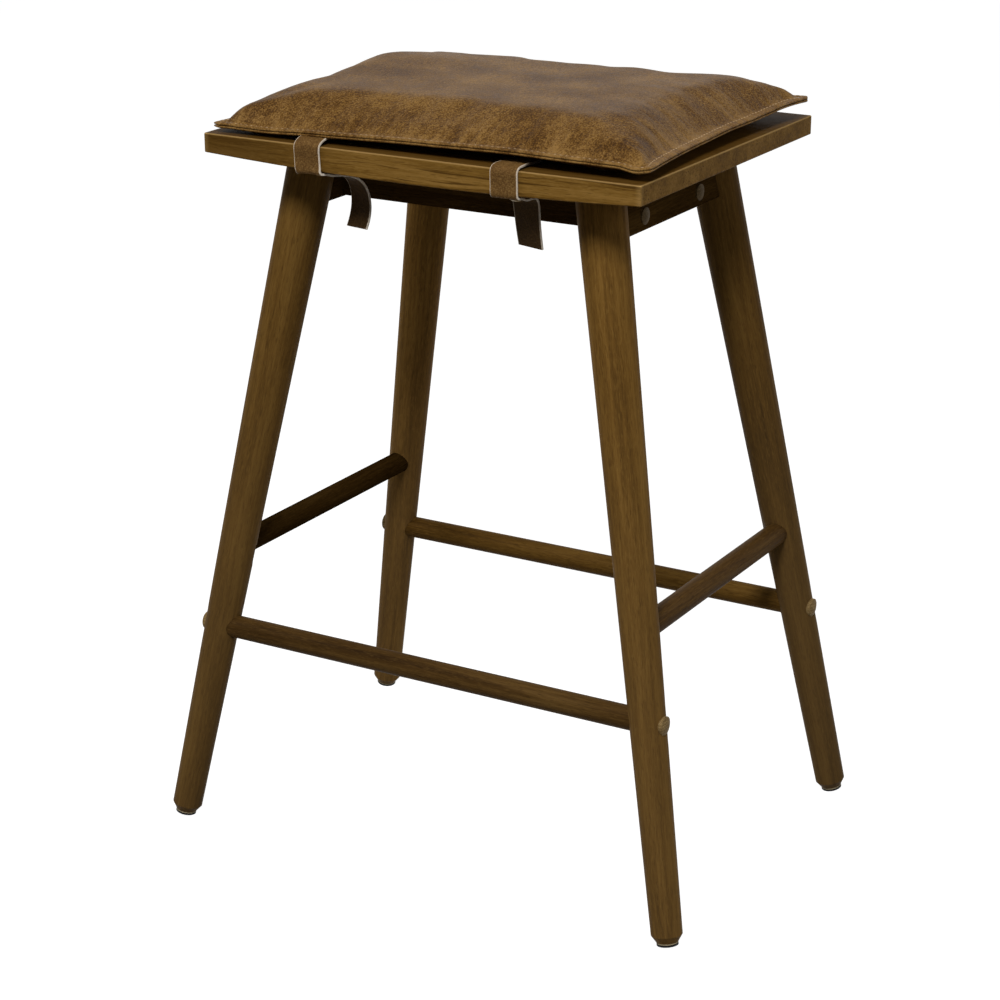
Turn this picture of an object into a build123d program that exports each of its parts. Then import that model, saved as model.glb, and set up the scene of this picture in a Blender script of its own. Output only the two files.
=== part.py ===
from build123d import *
from math import cos, radians, sin, sqrt, tan
import os

os.makedirs("parts", exist_ok=True)

# A wooden counter stool with a strapped leather seat cushion. Lengths are in millimetres.
# X runs along the seat's long side, the front edge faces -Y, +Z is up,
# and the origin lies on the floor under the middle of the seat.

# Fits
fit_gap = 0.1
glue_gap = 0.2
cut_overrun = 5

# Seat board, with an underside that arches from end to end
seat_height = 620
board_length = 400
board_depth = 315
board_end_thickness = 16
board_middle_thickness = 21.5
board_corner_radius = 1.5
board_edge_radius = 1

# Legs, turned and tapered, splayed along both sides of the seat
leg_top_diameter = 40.5
leg_foot_diameter = 26
leg_top_inset_x = 67.5
leg_top_inset_y = 61.5
leg_spread_x = 109.5
leg_spread_y = 72
leg_foot_chamfer_height = 6
leg_foot_chamfer_width = 3.8

# Glides nailed under the legs
glide_diameter = 18
glide_crown_height = 1.6
glide_rim_height = 1.8
glide_flat_depth = 0.2
glide_washer_thickness = 1
glide_nail_diameter = 2.4
glide_nail_length = 18
glide_nail_head_diameter = 7
glide_nail_head_thickness = 1
glide_nail_head_depth = 1.1

# Side aprons, tenoned into the legs, and their depth below the middle of the board
apron_depth = 41.5
apron_thickness = 20
apron_edge_radius = 1
tenon_thickness = 8
tenon_bottom_margin = 6
tenon_height = 26
tenon_end_margin = 3

# Seat rails between the aprons, set in from the tops of the legs
seat_rail_setback = 46.5
seat_rail_thickness = 20

# Round stretchers at the sides and foot rails at the front and back
stretcher_diameter = 20
stretcher_end_chamfer = 1
side_stretcher_height = 255
side_stretcher_socket_floor = 3
foot_rail_height = 183
foot_rail_socket_floor = 5

# Connector bolts and their threaded inserts
bolt_diameter = 6
bolt_length = 30
bolt_hole_diameter = 6.4
bolt_head_diameter = 12
bolt_head_thickness = 2.5
bolt_hex_width = 4
bolt_hex_depth = 1.6
hex_sides = 6
insert_diameter = 9
insert_length = 14
insert_setback = 2
bolt_run_out = 3
seat_rail_bolt_rise = 12.5
bolt_head_seat_in_leg = 5

# Plugs over the bolt heads
leg_plug_diameter = 16
leg_plug_stand_out = 0.8
apron_plug_diameter = 14
apron_plug_depth = 5
apron_plug_stand_out = 1
plug_crown = 1.8

# Dowels beside the seat rail bolts
dowel_diameter = 8
dowel_drop = 11.5
dowel_in_apron = 12
dowel_in_rail = 18

# Screws from the seat rails into the board
seat_screw_inset = 120
seat_screw_diameter = 4.6
seat_screw_head_diameter = 9
seat_screw_head_thickness = 2.6
seat_screw_length = 34
seat_screw_tip_length = 4
seat_screw_bite = 11.6
seat_screw_pocket_diameter = 10.5

# Cushion: two leather panels sewn along a lip, round a soft filling
cushion_side_margin = 7
cushion_front_margin = 6.5
cushion_side_draw = 6
cushion_front_draw = 5
cushion_corner_radius = 5
cushion_seam_rise = 11
cushion_crown = 32
seam_lip_width = 7.5
leather_thickness = 1.3
cushion_rest_gap = 0.3
cushion_belly_run = 28
filling_gap = 0.3

# Straps that hold the cushion, and their press studs
strap_width = 25
strap_thickness = 1.8
strap_clearance = 0.3
strap_left_place = -97.5
strap_right_place = 83.5
stud_setback = 18.5
stud_base_diameter = 10
stud_base_thickness = 0.9
stud_post_diameter = 3.6
stud_screw_diameter = 3
stud_screw_length = 9
socket_diameter = 11
socket_bore = 4.6
socket_thickness = 2.6
cap_diameter = 12.5
cap_thickness = 1.7
cap_rivet_diameter = 4.4
strap_hole_diameter = 5

# Rise of the straps from the board's edge back to the cushion's seam
strap_lift_run = 12
strap_lift_angle = 30
strap_lift_bend_radius = 7

# Hanging tails: most hang straight, one curls forward
tail_bend_run = 6.4
tail_bend_radius = 7
tail_drop = 44
tail_drift = 8
curl_run = 20
curl_drop = 46
curl_return = 5.5

# Levels and slopes that follow from the sizes above
top_level = seat_height - board_end_thickness
middle_level = seat_height - board_middle_thickness
rail_bottom_level = middle_level - apron_depth
seat_rail_bolt_level = rail_bottom_level + seat_rail_bolt_rise
dowel_level = middle_level - dowel_drop
leg_top_x = board_length / 2 - leg_top_inset_x
leg_top_y = board_depth / 2 - leg_top_inset_y
seat_rail_y = leg_top_y - seat_rail_setback
splay_x = leg_spread_x / top_level
splay_y = leg_spread_y / top_level
leg_slant = sqrt(1 + splay_x**2 + splay_y**2)
frame_slant = sqrt(1 + splay_x**2)
arch_rise = board_middle_thickness - board_end_thickness
arch_radius = ((board_length / 2) ** 2 + arch_rise**2) / (2 * arch_rise)
glide_dome_height = glide_crown_height + glide_rim_height
dome_radius = ((glide_diameter / 2) ** 2 + glide_crown_height**2) / (2 * glide_crown_height)

sides = {"left": -1, "right": 1}
ends = {"front": -1, "back": 1}
corners = [(side, end) for side in sides.values() for end in ends.values()]


def leg_x(level):
    """Distance of a leg's centre line from the middle of the seat along X, at a height."""
    return leg_top_x + splay_x * (top_level - level)


def leg_y(level):
    """Distance of a leg's centre line from the middle of the seat along Y, at a height."""
    return leg_top_y + splay_y * (top_level - level)


def underside(x):
    """Height of the board's arched underside at a place along the seat."""
    return middle_level + arch_radius - sqrt(arch_radius**2 - x**2)


def leg_up(side, end):
    """Direction of a leg's centre line, upwards."""
    return Vector(-side * splay_x, -end * splay_y, 1).normalized()


def leg_foot(side, end):
    """Tip of the glide's dome on the leg's centre line.

    The dome's crown is part of a ball, with a small flat where it meets the floor.
    """
    ball_level = dome_radius - glide_flat_depth
    ball = Vector(side * leg_x(ball_level), end * leg_y(ball_level), ball_level)
    return ball - leg_up(side, end) * dome_radius


def turning_plane(side, end):
    """Plane through a leg's centre line: its local Y is the centre line, local X a radius."""
    up = leg_up(side, end)
    radius_way = Vector(0, side, 0).cross(up).normalized()
    return Plane(origin=leg_foot(side, end), x_dir=radius_way, z_dir=radius_way.cross(up))


def turning_axis(side, end):
    """The leg's centre line as an axis to turn profiles about."""
    return Axis(leg_foot(side, end), leg_up(side, end))


def crosswise(side, x, y, z):
    """Plane square to X that looks away from the middle of the seat."""
    return Plane(origin=(x, y, z), x_dir=(0, side, 0), z_dir=(side, 0, 0))


def lengthwise(end, x, y, z):
    """Plane square to Y that looks away from the middle of the seat."""
    return Plane(origin=(x, y, z), x_dir=(-end, 0, 0), z_dir=(0, end, 0))


def save(node, name):
    """Name a finished piece and write it."""
    node.part.label = name
    export_step(node.part, f"parts/{name}.step")


# The space that the board fills, from just under its arch upwards. It trims what stands below.
half_board = board_length / 2
with BuildPart() as seat_space:
    with BuildSketch(Plane.XZ):
        with BuildLine():
            arch = ThreePointArc(
                (-half_board, underside(half_board) - glue_gap),
                (0, underside(0) - glue_gap),
                (half_board, underside(half_board) - glue_gap),
            )
            Polyline(arch @ 1, (half_board, seat_height * 2), (-half_board, seat_height * 2), arch @ 0)
        make_face()
    extrude(amount=board_depth / 2, both=True)


# Places of what is fixed under the board
screw_x = half_board - seat_screw_inset
screw_places = [(side * screw_x, end * seat_rail_y) for side, end in corners]
strap_places = {"left": strap_left_place, "right": strap_right_place}
stud_y = board_depth / 2 - stud_setback
stud_places = [(x, end * stud_y) for x in strap_places.values() for end in ends.values()]
screw_tip_level = underside(screw_x) + seat_screw_bite
screw_head_level = screw_tip_level - seat_screw_length

# Seat board
with BuildPart() as seat_board:
    with BuildSketch(Plane.XZ):
        with BuildLine():
            arch = ThreePointArc(
                (-half_board, underside(half_board)), (0, underside(0)), (half_board, underside(half_board))
            )
            Polyline(arch @ 1, (half_board, seat_height), (-half_board, seat_height), arch @ 0)
        make_face()
    extrude(amount=board_depth / 2, both=True)
    upright_edges = seat_board.edges().filter_by(Axis.Z)
    fillet(upright_edges, radius=board_corner_radius)
    top_face = seat_board.faces().sort_by(Axis.Z)[-1]
    under_face = seat_board.faces().sort_by(Axis.Z)[0]
    fillet(top_face.edges() + under_face.edges(), radius=board_edge_radius)
    for x, y in screw_places:
        with BuildSketch(Plane.XY.offset(underside(x) - cut_overrun)):
            with Locations((x, y)):
                Circle(seat_screw_diameter / 2 + fit_gap)
        extrude(amount=cut_overrun + seat_screw_bite + fit_gap, mode=Mode.SUBTRACT)
    for x, y in stud_places:
        with BuildSketch(Plane.XY.offset(underside(x) - cut_overrun)):
            with Locations((x, y)):
                Circle(stud_screw_diameter / 2 + fit_gap)
        extrude(amount=stud_screw_length + fit_gap + cut_overrun, mode=Mode.SUBTRACT)
save(seat_board, "seat_board")


# Legs
leg_end = glide_dome_height + glide_washer_thickness


def leg_radius(along):
    """Radius of a leg at a distance along its centre line from the glide's lowest point."""
    full = top_level * leg_slant
    share = (along - leg_end) / (full - leg_end)
    return (leg_foot_diameter + (leg_top_diameter - leg_foot_diameter) * share) / 2


def leg_blank(side, end, allowance):
    """A turned leg without its joints, swelled by an allowance."""
    above = seat_height * leg_slant
    chamfer_top = leg_end + leg_foot_chamfer_height
    with BuildPart() as blank:
        with BuildSketch(turning_plane(side, end)):
            with BuildLine():
                Polyline(
                    (0, leg_end),
                    (leg_radius(leg_end) - leg_foot_chamfer_width + allowance, leg_end),
                    (leg_radius(chamfer_top) + allowance, chamfer_top),
                    (leg_radius(above) + allowance, above),
                    (0, above),
                    close=True,
                )
            make_face()
        revolve(axis=turning_axis(side, end))
    return blank


def frame_plane(side):
    """Plane of a side frame: through both leg centre lines, local X along Y, local Y up the legs."""
    across = Vector(side, 0, splay_x).normalized()
    return Plane(origin=(side * leg_top_x, 0, top_level), x_dir=(0, side, 0), z_dir=across)


def frame_up(level):
    """Distance up the frame plane from its origin to a height."""
    return (level - top_level) * frame_slant


tenon_bottom = frame_up(rail_bottom_level) + tenon_bottom_margin
tenon_middle = tenon_bottom + tenon_height / 2
tenon_reach = leg_y((rail_bottom_level + top_level) / 2) - tenon_end_margin
stretcher_hole = stretcher_diameter / 2 + glue_gap
leg_socket_x = leg_x(foot_rail_height) - foot_rail_socket_floor
leg_bolt_seat_x = leg_x(foot_rail_height) + bolt_head_seat_in_leg
head_end = glide_nail_head_depth + glide_nail_head_thickness
nail_top = glide_nail_head_depth + glide_nail_length

for end_name, end in ends.items():
    for side_name, side in sides.items():
        blank = leg_blank(side, end, 0)
        with BuildPart() as leg:
            add(blank.part)
            add(seat_space.part, mode=Mode.SUBTRACT)
            # Socket for the foot rail, the bolt hole and the plug's counterbore
            rail_y = end * leg_y(foot_rail_height)
            with BuildSketch(crosswise(-side, side * leg_socket_x, rail_y, foot_rail_height)):
                Circle(stretcher_hole)
            extrude(amount=leg_top_diameter, mode=Mode.SUBTRACT)
            with BuildSketch(crosswise(-side, side * leg_bolt_seat_x, rail_y, foot_rail_height)):
                Circle(bolt_hole_diameter / 2)
            extrude(amount=leg_top_diameter, mode=Mode.SUBTRACT)
            with BuildSketch(crosswise(side, side * leg_bolt_seat_x, rail_y, foot_rail_height)):
                Circle(leg_plug_diameter / 2 + fit_gap)
            extrude(amount=leg_top_diameter, mode=Mode.SUBTRACT)
            # Socket for the side stretcher
            stretcher_x = side * leg_x(side_stretcher_height)
            stretcher_y = end * (leg_y(side_stretcher_height) - side_stretcher_socket_floor)
            with BuildSketch(lengthwise(-end, stretcher_x, stretcher_y, side_stretcher_height)):
                Circle(stretcher_hole)
            extrude(amount=leg_top_diameter, mode=Mode.SUBTRACT)
            # Mortise for the apron's tenon
            mortise_run = leg_top_diameter
            mortise_centre = side * end * (tenon_reach + fit_gap - mortise_run / 2)
            with BuildSketch(frame_plane(side)):
                with Locations((mortise_centre, tenon_middle)):
                    Rectangle(mortise_run, tenon_height + 2 * fit_gap)
            extrude(amount=tenon_thickness / 2 + fit_gap, both=True, mode=Mode.SUBTRACT)
            # Hole for the glide's nail
            nail_plane = Plane(origin=leg_foot(side, end), z_dir=leg_up(side, end))
            with BuildSketch(nail_plane):
                Circle(glide_nail_diameter / 2 + fit_gap)
            extrude(amount=nail_top + fit_gap, mode=Mode.SUBTRACT)
        save(leg, f"leg_{end_name}_{side_name}")


# Glides: a nail, a pale washer against the leg and a black dome that meets the floor
with BuildPart() as glide_nails:
    for side, end in corners:
        with BuildSketch(turning_plane(side, end)):
            with BuildLine():
                Polyline(
                    (0, glide_nail_head_depth),
                    (glide_nail_head_diameter / 2, glide_nail_head_depth),
                    (glide_nail_head_diameter / 2, head_end),
                    (glide_nail_diameter / 2, head_end),
                    (glide_nail_diameter / 2, nail_top - glide_nail_diameter),
                    (0, nail_top),
                    close=True,
                )
            make_face()
        revolve(axis=turning_axis(side, end))
save(glide_nails, "glide_nails")

with BuildPart() as glide_washers:
    for side, end in corners:
        with BuildSketch(turning_plane(side, end)):
            with BuildLine():
                Polyline(
                    (glide_nail_diameter / 2 + fit_gap, glide_dome_height),
                    (glide_diameter / 2, glide_dome_height),
                    (glide_diameter / 2, leg_end),
                    (glide_nail_diameter / 2 + fit_gap, leg_end),
                    close=True,
                )
            make_face()
        revolve(axis=turning_axis(side, end))
save(glide_washers, "glide_washers")

dome_half = glide_diameter / 4
dome_half_height = dome_radius - sqrt(dome_radius**2 - dome_half**2)
with BuildPart() as glide_domes:
    for side, end in corners:
        with BuildSketch(turning_plane(side, end)):
            with BuildLine():
                ThreePointArc((0, 0), (dome_half, dome_half_height), (glide_diameter / 2, glide_crown_height))
                Polyline(
                    (glide_diameter / 2, glide_crown_height),
                    (glide_diameter / 2, glide_dome_height),
                    (0, glide_dome_height),
                    (0, 0),
                )
            make_face()
        revolve(axis=turning_axis(side, end))
    for side, end in corners:
        with BuildSketch(turning_plane(side, end)):
            with BuildLine():
                Polyline(
                    (0, glide_nail_head_depth),
                    (glide_nail_head_diameter / 2 + fit_gap, glide_nail_head_depth),
                    (glide_nail_head_diameter / 2 + fit_gap, head_end),
                    (glide_nail_diameter / 2 + fit_gap, head_end),
                    (glide_nail_diameter / 2 + fit_gap, leg_end),
                    (0, leg_end),
                    close=True,
                )
            make_face()
        revolve(axis=turning_axis(side, end), mode=Mode.SUBTRACT)
    split(bisect_by=Plane.XY, keep=Keep.TOP)
save(glide_domes, "glide_domes")


# Side aprons
half_apron = apron_thickness / 2


def apron_face_x(level, way):
    """X of an apron's outer (way 1) or inner (way -1) face at a height, on the right side."""
    return leg_x(level) + way * half_apron * frame_slant


dowel_outer_x = apron_face_x(dowel_level, -1) + dowel_in_apron
dowel_inner_x = apron_face_x(dowel_level, -1) - dowel_in_rail
plug_floor_x = apron_face_x(seat_rail_bolt_level, 1) - apron_plug_depth
rail_bolt_seat_x = plug_floor_x - bolt_head_thickness

for side_name, side in sides.items():
    with BuildPart() as side_apron:
        bottom = frame_up(rail_bottom_level)
        top = frame_up(seat_height)
        with BuildSketch(frame_plane(side)):
            with BuildLine():
                Polyline(
                    (-leg_y(rail_bottom_level), bottom),
                    (leg_y(rail_bottom_level), bottom),
                    (leg_y(seat_height), top),
                    (-leg_y(seat_height), top),
                    close=True,
                )
            make_face()
        extrude(amount=half_apron, both=True)
        bottom_edges = side_apron.edges().filter_by(Axis.Y).group_by(Axis.Z)[:2]
        fillet(bottom_edges[0] + bottom_edges[1], radius=apron_edge_radius)
        for end in ends.values():
            add(leg_blank(side, end, fit_gap).part, mode=Mode.SUBTRACT)
        add(seat_space.part, mode=Mode.SUBTRACT)
        with BuildSketch(frame_plane(side)):
            with Locations((0, tenon_middle)):
                Rectangle(2 * tenon_reach, tenon_height)
        extrude(amount=tenon_thickness / 2, both=True)
        for end in ends.values():
            y = end * seat_rail_y
            far_in = side * (plug_floor_x - bolt_head_thickness - bolt_length)
            with BuildSketch(crosswise(side, far_in, y, seat_rail_bolt_level)):
                Circle(bolt_hole_diameter / 2)
            extrude(amount=2 * bolt_length, mode=Mode.SUBTRACT)
            with BuildSketch(crosswise(side, side * rail_bolt_seat_x, y, seat_rail_bolt_level)):
                Circle(bolt_head_diameter / 2 + fit_gap)
            extrude(amount=bolt_length, mode=Mode.SUBTRACT)
            with BuildSketch(crosswise(side, side * plug_floor_x, y, seat_rail_bolt_level)):
                Circle(apron_plug_diameter / 2 + fit_gap)
            extrude(amount=bolt_length, mode=Mode.SUBTRACT)
            dowel_hole_x = side * (dowel_outer_x + fit_gap)
            with BuildSketch(crosswise(-side, dowel_hole_x, y, dowel_level)):
                Circle(dowel_diameter / 2 + fit_gap)
            extrude(amount=dowel_in_apron + apron_thickness, mode=Mode.SUBTRACT)
    save(side_apron, f"side_apron_{side_name}")


# Side stretchers
for side_name, side in sides.items():
    stretcher_half = leg_y(side_stretcher_height) - side_stretcher_socket_floor - glue_gap
    start = lengthwise(1, side * leg_x(side_stretcher_height), -stretcher_half, side_stretcher_height)
    with BuildPart() as side_stretcher:
        with BuildSketch(start):
            Circle(stretcher_diameter / 2)
        extrude(amount=2 * stretcher_half)
        chamfer(side_stretcher.edges().filter_by(GeomType.CIRCLE), length=stretcher_end_chamfer)
    save(side_stretcher, f"side_stretcher_{side_name}")


# Foot rails, bored for an insert and a bolt at each end
foot_rail_half = leg_socket_x - glue_gap
for end_name, end in ends.items():
    y = end * leg_y(foot_rail_height)
    with BuildPart() as foot_rail:
        with BuildSketch(crosswise(1, -foot_rail_half, y, foot_rail_height)):
            Circle(stretcher_diameter / 2)
        extrude(amount=2 * foot_rail_half)
        chamfer(foot_rail.edges().filter_by(GeomType.CIRCLE), length=stretcher_end_chamfer)
        for side in sides.values():
            with BuildSketch(crosswise(-side, side * foot_rail_half, y, foot_rail_height)):
                Circle(insert_diameter / 2 + fit_gap)
            extrude(amount=insert_setback + insert_length, mode=Mode.SUBTRACT)
            bolt_tip = leg_bolt_seat_x - bolt_length
            with BuildSketch(crosswise(-side, side * foot_rail_half, y, foot_rail_height)):
                Circle(bolt_hole_diameter / 2)
            extrude(amount=foot_rail_half - bolt_tip + bolt_run_out, mode=Mode.SUBTRACT)
    save(foot_rail, f"foot_rail_{end_name}")


# Seat rails, with ends cut to the slope of the side frames
rail_end_low = apron_face_x(rail_bottom_level, -1)
rail_end_high = apron_face_x(seat_height, -1)
rail_insert_x = apron_face_x(seat_rail_bolt_level, -1) - insert_setback
for end_name, end in ends.items():
    with BuildPart() as seat_rail:
        with BuildSketch(Plane.XZ.offset(-end * seat_rail_y)):
            with BuildLine():
                Polyline(
                    (-rail_end_low, rail_bottom_level),
                    (rail_end_low, rail_bottom_level),
                    (rail_end_high, seat_height),
                    (-rail_end_high, seat_height),
                    close=True,
                )
            make_face()
        extrude(amount=seat_rail_thickness / 2, both=True)
        fillet(seat_rail.edges().filter_by(Axis.X).group_by(Axis.Z)[0], radius=apron_edge_radius)
        add(seat_space.part, mode=Mode.SUBTRACT)
        y = end * seat_rail_y
        for side in sides.values():
            insert_end_x = side * (rail_insert_x - insert_length)
            with BuildSketch(crosswise(side, insert_end_x, y, seat_rail_bolt_level)):
                Circle(insert_diameter / 2 + fit_gap)
            extrude(amount=insert_length + apron_thickness, mode=Mode.SUBTRACT)
            bolt_hole_end_x = side * (rail_bolt_seat_x - bolt_length - bolt_run_out)
            with BuildSketch(crosswise(side, bolt_hole_end_x, y, seat_rail_bolt_level)):
                Circle(bolt_hole_diameter / 2)
            extrude(amount=bolt_length, mode=Mode.SUBTRACT)
            dowel_hole_x = side * (dowel_inner_x - fit_gap)
            with BuildSketch(crosswise(side, dowel_hole_x, y, dowel_level)):
                Circle(dowel_diameter / 2 + fit_gap)
            extrude(amount=dowel_in_rail + apron_thickness, mode=Mode.SUBTRACT)
            # Pocket and hole for a screw up into the board
            with BuildSketch(Plane.XY.offset(screw_head_level)):
                with Locations((side * screw_x, y)):
                    Circle(seat_screw_pocket_diameter / 2)
            extrude(amount=-seat_height, mode=Mode.SUBTRACT)
            with BuildSketch(Plane.XY.offset(rail_bottom_level)):
                with Locations((side * screw_x, y)):
                    Circle(seat_screw_diameter / 2 + fit_gap)
            extrude(amount=seat_height, mode=Mode.SUBTRACT)
    save(seat_rail, f"seat_rail_{end_name}")


# Joint hardware, the same bolt and insert at the rails and at the legs
leg_insert_x = foot_rail_half - insert_setback
bolt_joints = {
    "seat_rail": (rail_bolt_seat_x, rail_insert_x, seat_rail_y, seat_rail_bolt_level),
    "foot_rail": (leg_bolt_seat_x, leg_insert_x, leg_y(foot_rail_height), foot_rail_height),
}
for rail_name, (bolt_seat_x, insert_x, joint_y, level) in bolt_joints.items():
    with BuildPart() as bolts:
        for side, end in corners:
            with BuildSketch(crosswise(-side, side * bolt_seat_x, end * joint_y, level)):
                Circle(bolt_diameter / 2)
            extrude(amount=bolt_length)
            with BuildSketch(crosswise(side, side * bolt_seat_x, end * joint_y, level)):
                Circle(bolt_head_diameter / 2)
            extrude(amount=bolt_head_thickness)
            head_face_x = bolt_seat_x + bolt_head_thickness
            with BuildSketch(crosswise(-side, side * head_face_x, end * joint_y, level)):
                RegularPolygon(bolt_hex_width / 2, hex_sides, major_radius=False)
            extrude(amount=bolt_hex_depth, mode=Mode.SUBTRACT)
    save(bolts, f"{rail_name}_bolts")
    with BuildPart() as inserts:
        for side, end in corners:
            with BuildSketch(crosswise(-side, side * insert_x, end * joint_y, level)):
                Circle(insert_diameter / 2)
                Circle(bolt_diameter / 2 + fit_gap, mode=Mode.SUBTRACT)
            extrude(amount=insert_length)
    save(inserts, f"{rail_name}_inserts")

with BuildPart() as seat_rail_dowels:
    for side, end in corners:
        with BuildSketch(crosswise(side, side * dowel_inner_x, end * seat_rail_y, dowel_level)):
            Circle(dowel_diameter / 2)
        extrude(amount=dowel_in_rail + dowel_in_apron)
save(seat_rail_dowels, "seat_rail_dowels")


def plug_profile(radius, length, crown):
    """Half outline of a domed plug: local X is its radius, local Y its length."""
    ball = (radius**2 + crown**2) / (2 * crown)
    half_rise = sqrt(ball**2 - (radius / 2) ** 2) - (ball - crown)
    with BuildLine() as outline:
        Polyline((0, length + crown), (0, 0), (radius, 0), (radius, length))
        ThreePointArc((radius, length), (radius / 2, length + half_rise), (0, length + crown))
    return outline


def plug(side, floor, radius, length):
    """A domed plug on an axis along X, from the middle of its floor outwards."""
    profile_plane = Plane(origin=floor, x_dir=(0, 1, 0), z_dir=(0, 0, -side))
    with BuildPart() as single:
        with BuildSketch(profile_plane):
            add(plug_profile(radius, length, plug_crown).line)
            make_face()
        revolve(axis=Axis(floor, (side, 0, 0)))
    return single


leg_skin = leg_radius(foot_rail_height * leg_slant)
leg_plug_floor_x = leg_bolt_seat_x + bolt_head_thickness
leg_plug_length = leg_skin - bolt_head_seat_in_leg - bolt_head_thickness + leg_plug_stand_out
with BuildPart() as foot_rail_plugs:
    for side, end in corners:
        floor = (side * leg_plug_floor_x, end * leg_y(foot_rail_height), foot_rail_height)
        add(plug(side, floor, leg_plug_diameter / 2, leg_plug_length).part)
save(foot_rail_plugs, "foot_rail_plugs")

apron_plug_length = apron_plug_depth + apron_plug_stand_out
with BuildPart() as seat_rail_plugs:
    for side, end in corners:
        floor = (side * plug_floor_x, end * seat_rail_y, seat_rail_bolt_level)
        add(plug(side, floor, apron_plug_diameter / 2, apron_plug_length).part)
save(seat_rail_plugs, "seat_rail_plugs")

# Screws that hold the board down on the rails
with BuildPart() as seat_screws:
    for x, y in screw_places:
        with BuildSketch(Plane(origin=(x, y, screw_head_level), x_dir=(1, 0, 0), z_dir=(0, -1, 0))):
            with BuildLine():
                Polyline(
                    (0, -seat_screw_head_thickness),
                    (seat_screw_head_diameter / 2, -seat_screw_head_thickness),
                    (seat_screw_head_diameter / 2, 0),
                    (seat_screw_diameter / 2, 0),
                    (seat_screw_diameter / 2, seat_screw_length - seat_screw_tip_length),
                    (0, seat_screw_length),
                    close=True,
                )
            make_face()
        revolve(axis=Axis((x, y, screw_head_level), (0, 0, 1)))
save(seat_screws, "seat_screws")


# Cushion
seam_level = seat_height + cushion_seam_rise
half_length = half_board - cushion_side_margin
half_depth = board_depth / 2 - cushion_front_margin


def cushion_outline(inset):
    """Outline of the cushion at its seam, or inset from it: four sides drawn in between corners."""
    length_reach = half_length - inset
    depth_reach = half_depth - inset
    turns = [(-1, -1), (1, -1), (1, 1), (-1, 1)]
    middles = [
        (0, cushion_front_draw - depth_reach),
        (length_reach - cushion_side_draw, 0),
        (0, depth_reach - cushion_front_draw),
        (cushion_side_draw - length_reach, 0),
    ]
    with BuildSketch() as outline:
        with BuildLine():
            for index, middle in enumerate(middles):
                start = turns[index]
                stop = turns[(index + 1) % len(turns)]
                ThreePointArc(
                    (start[0] * length_reach, start[1] * depth_reach),
                    middle,
                    (stop[0] * length_reach, stop[1] * depth_reach),
                )
        make_face()
        fillet(outline.vertices(), radius=cushion_corner_radius)
    return outline


def seam_depth(x):
    """Half the cushion's depth at the seam, at a place along it."""
    return half_depth - cushion_front_draw * (1 - (x / half_length) ** 2)


# How the crown swells from one end to the other: place along the half length, share of the height
swell_shares = [(1, 0.1), (0.965, 0.42), (0.9, 0.68), (0.75, 0.88), (0.45, 0.98), (0, 1)]
shoulder_depth_share = 0.76
shoulder_height_share = 0.8


def crown_section(x, depth, height):
    """Section of the cushion's upper half: a wide crown between two rounded sides."""
    shoulder = depth * shoulder_depth_share
    shoulder_height = height * shoulder_height_share
    rise = height - shoulder_height
    crown_radius = (shoulder**2 + rise**2) / (2 * rise)
    lean = shoulder / crown_radius
    flat = sqrt(1 - lean**2)
    with BuildSketch(Plane(origin=(x, 0, seam_level), x_dir=(0, 1, 0), z_dir=(1, 0, 0))) as section:
        with BuildLine():
            ThreePointArc((-shoulder, shoulder_height), (0, height), (shoulder, shoulder_height))
            TangentArc((shoulder, shoulder_height), (depth, 0), tangent=(flat, -lean))
            Line((depth, 0), (-depth, 0))
            TangentArc((-shoulder, shoulder_height), (-depth, 0), tangent=(-flat, -lean))
        make_face()
    return section


def crown_body(inset, lowering):
    """Swollen upper half of the cushion, inset from the seam's outline and lowered."""
    reach = half_length - inset
    stations = [(-place, share) for place, share in swell_shares]
    stations += [(place, share) for place, share in reversed(swell_shares[:-1])]
    sections = []
    for place, share in stations:
        x = place * reach
        height = (cushion_crown - lowering) * share
        sections.append(crown_section(x, seam_depth(x) - inset, height).sketch)
    with BuildPart() as body:
        loft(sections)
        with BuildSketch(Plane.XY.offset(seam_level)):
            add(cushion_outline(inset).sketch)
        extrude(amount=2 * cushion_crown, mode=Mode.INTERSECT)
    return body


def belly_body(inset, raising):
    """Lower half of the cushion: sides that slope in to the flat that rests on the board."""
    with BuildPart() as body:
        with BuildSketch(Plane.XY.offset(seam_level)):
            add(cushion_outline(inset).sketch)
        with BuildSketch(Plane.XY.offset(seat_height + cushion_rest_gap + raising)):
            add(cushion_outline(inset + cushion_belly_run).sketch)
        loft(ruled=True)
    return body


cavity_inset = seam_lip_width + leather_thickness
filling_inset = cavity_inset + filling_gap
filling_lowering = leather_thickness + filling_gap
with BuildPart() as cushion_filling:
    add(crown_body(filling_inset, filling_lowering).part)
    add(belly_body(filling_inset, filling_lowering).part)
save(cushion_filling, "cushion_filling")

with BuildPart() as cushion_cover_top:
    add(crown_body(seam_lip_width, 0).part)
    with BuildSketch(Plane.XY.offset(seam_level)):
        add(cushion_outline(0).sketch)
    extrude(amount=leather_thickness)
    add(crown_body(cavity_inset, leather_thickness).part, mode=Mode.SUBTRACT)
save(cushion_cover_top, "cushion_cover_top")

with BuildPart() as cushion_cover_bottom:
    add(belly_body(seam_lip_width, 0).part)
    with BuildSketch(Plane.XY.offset(seam_level)):
        add(cushion_outline(0).sketch)
    extrude(amount=-leather_thickness)
    add(belly_body(cavity_inset, leather_thickness).part, mode=Mode.SUBTRACT)
save(cushion_cover_bottom, "cushion_cover_bottom")


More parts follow.
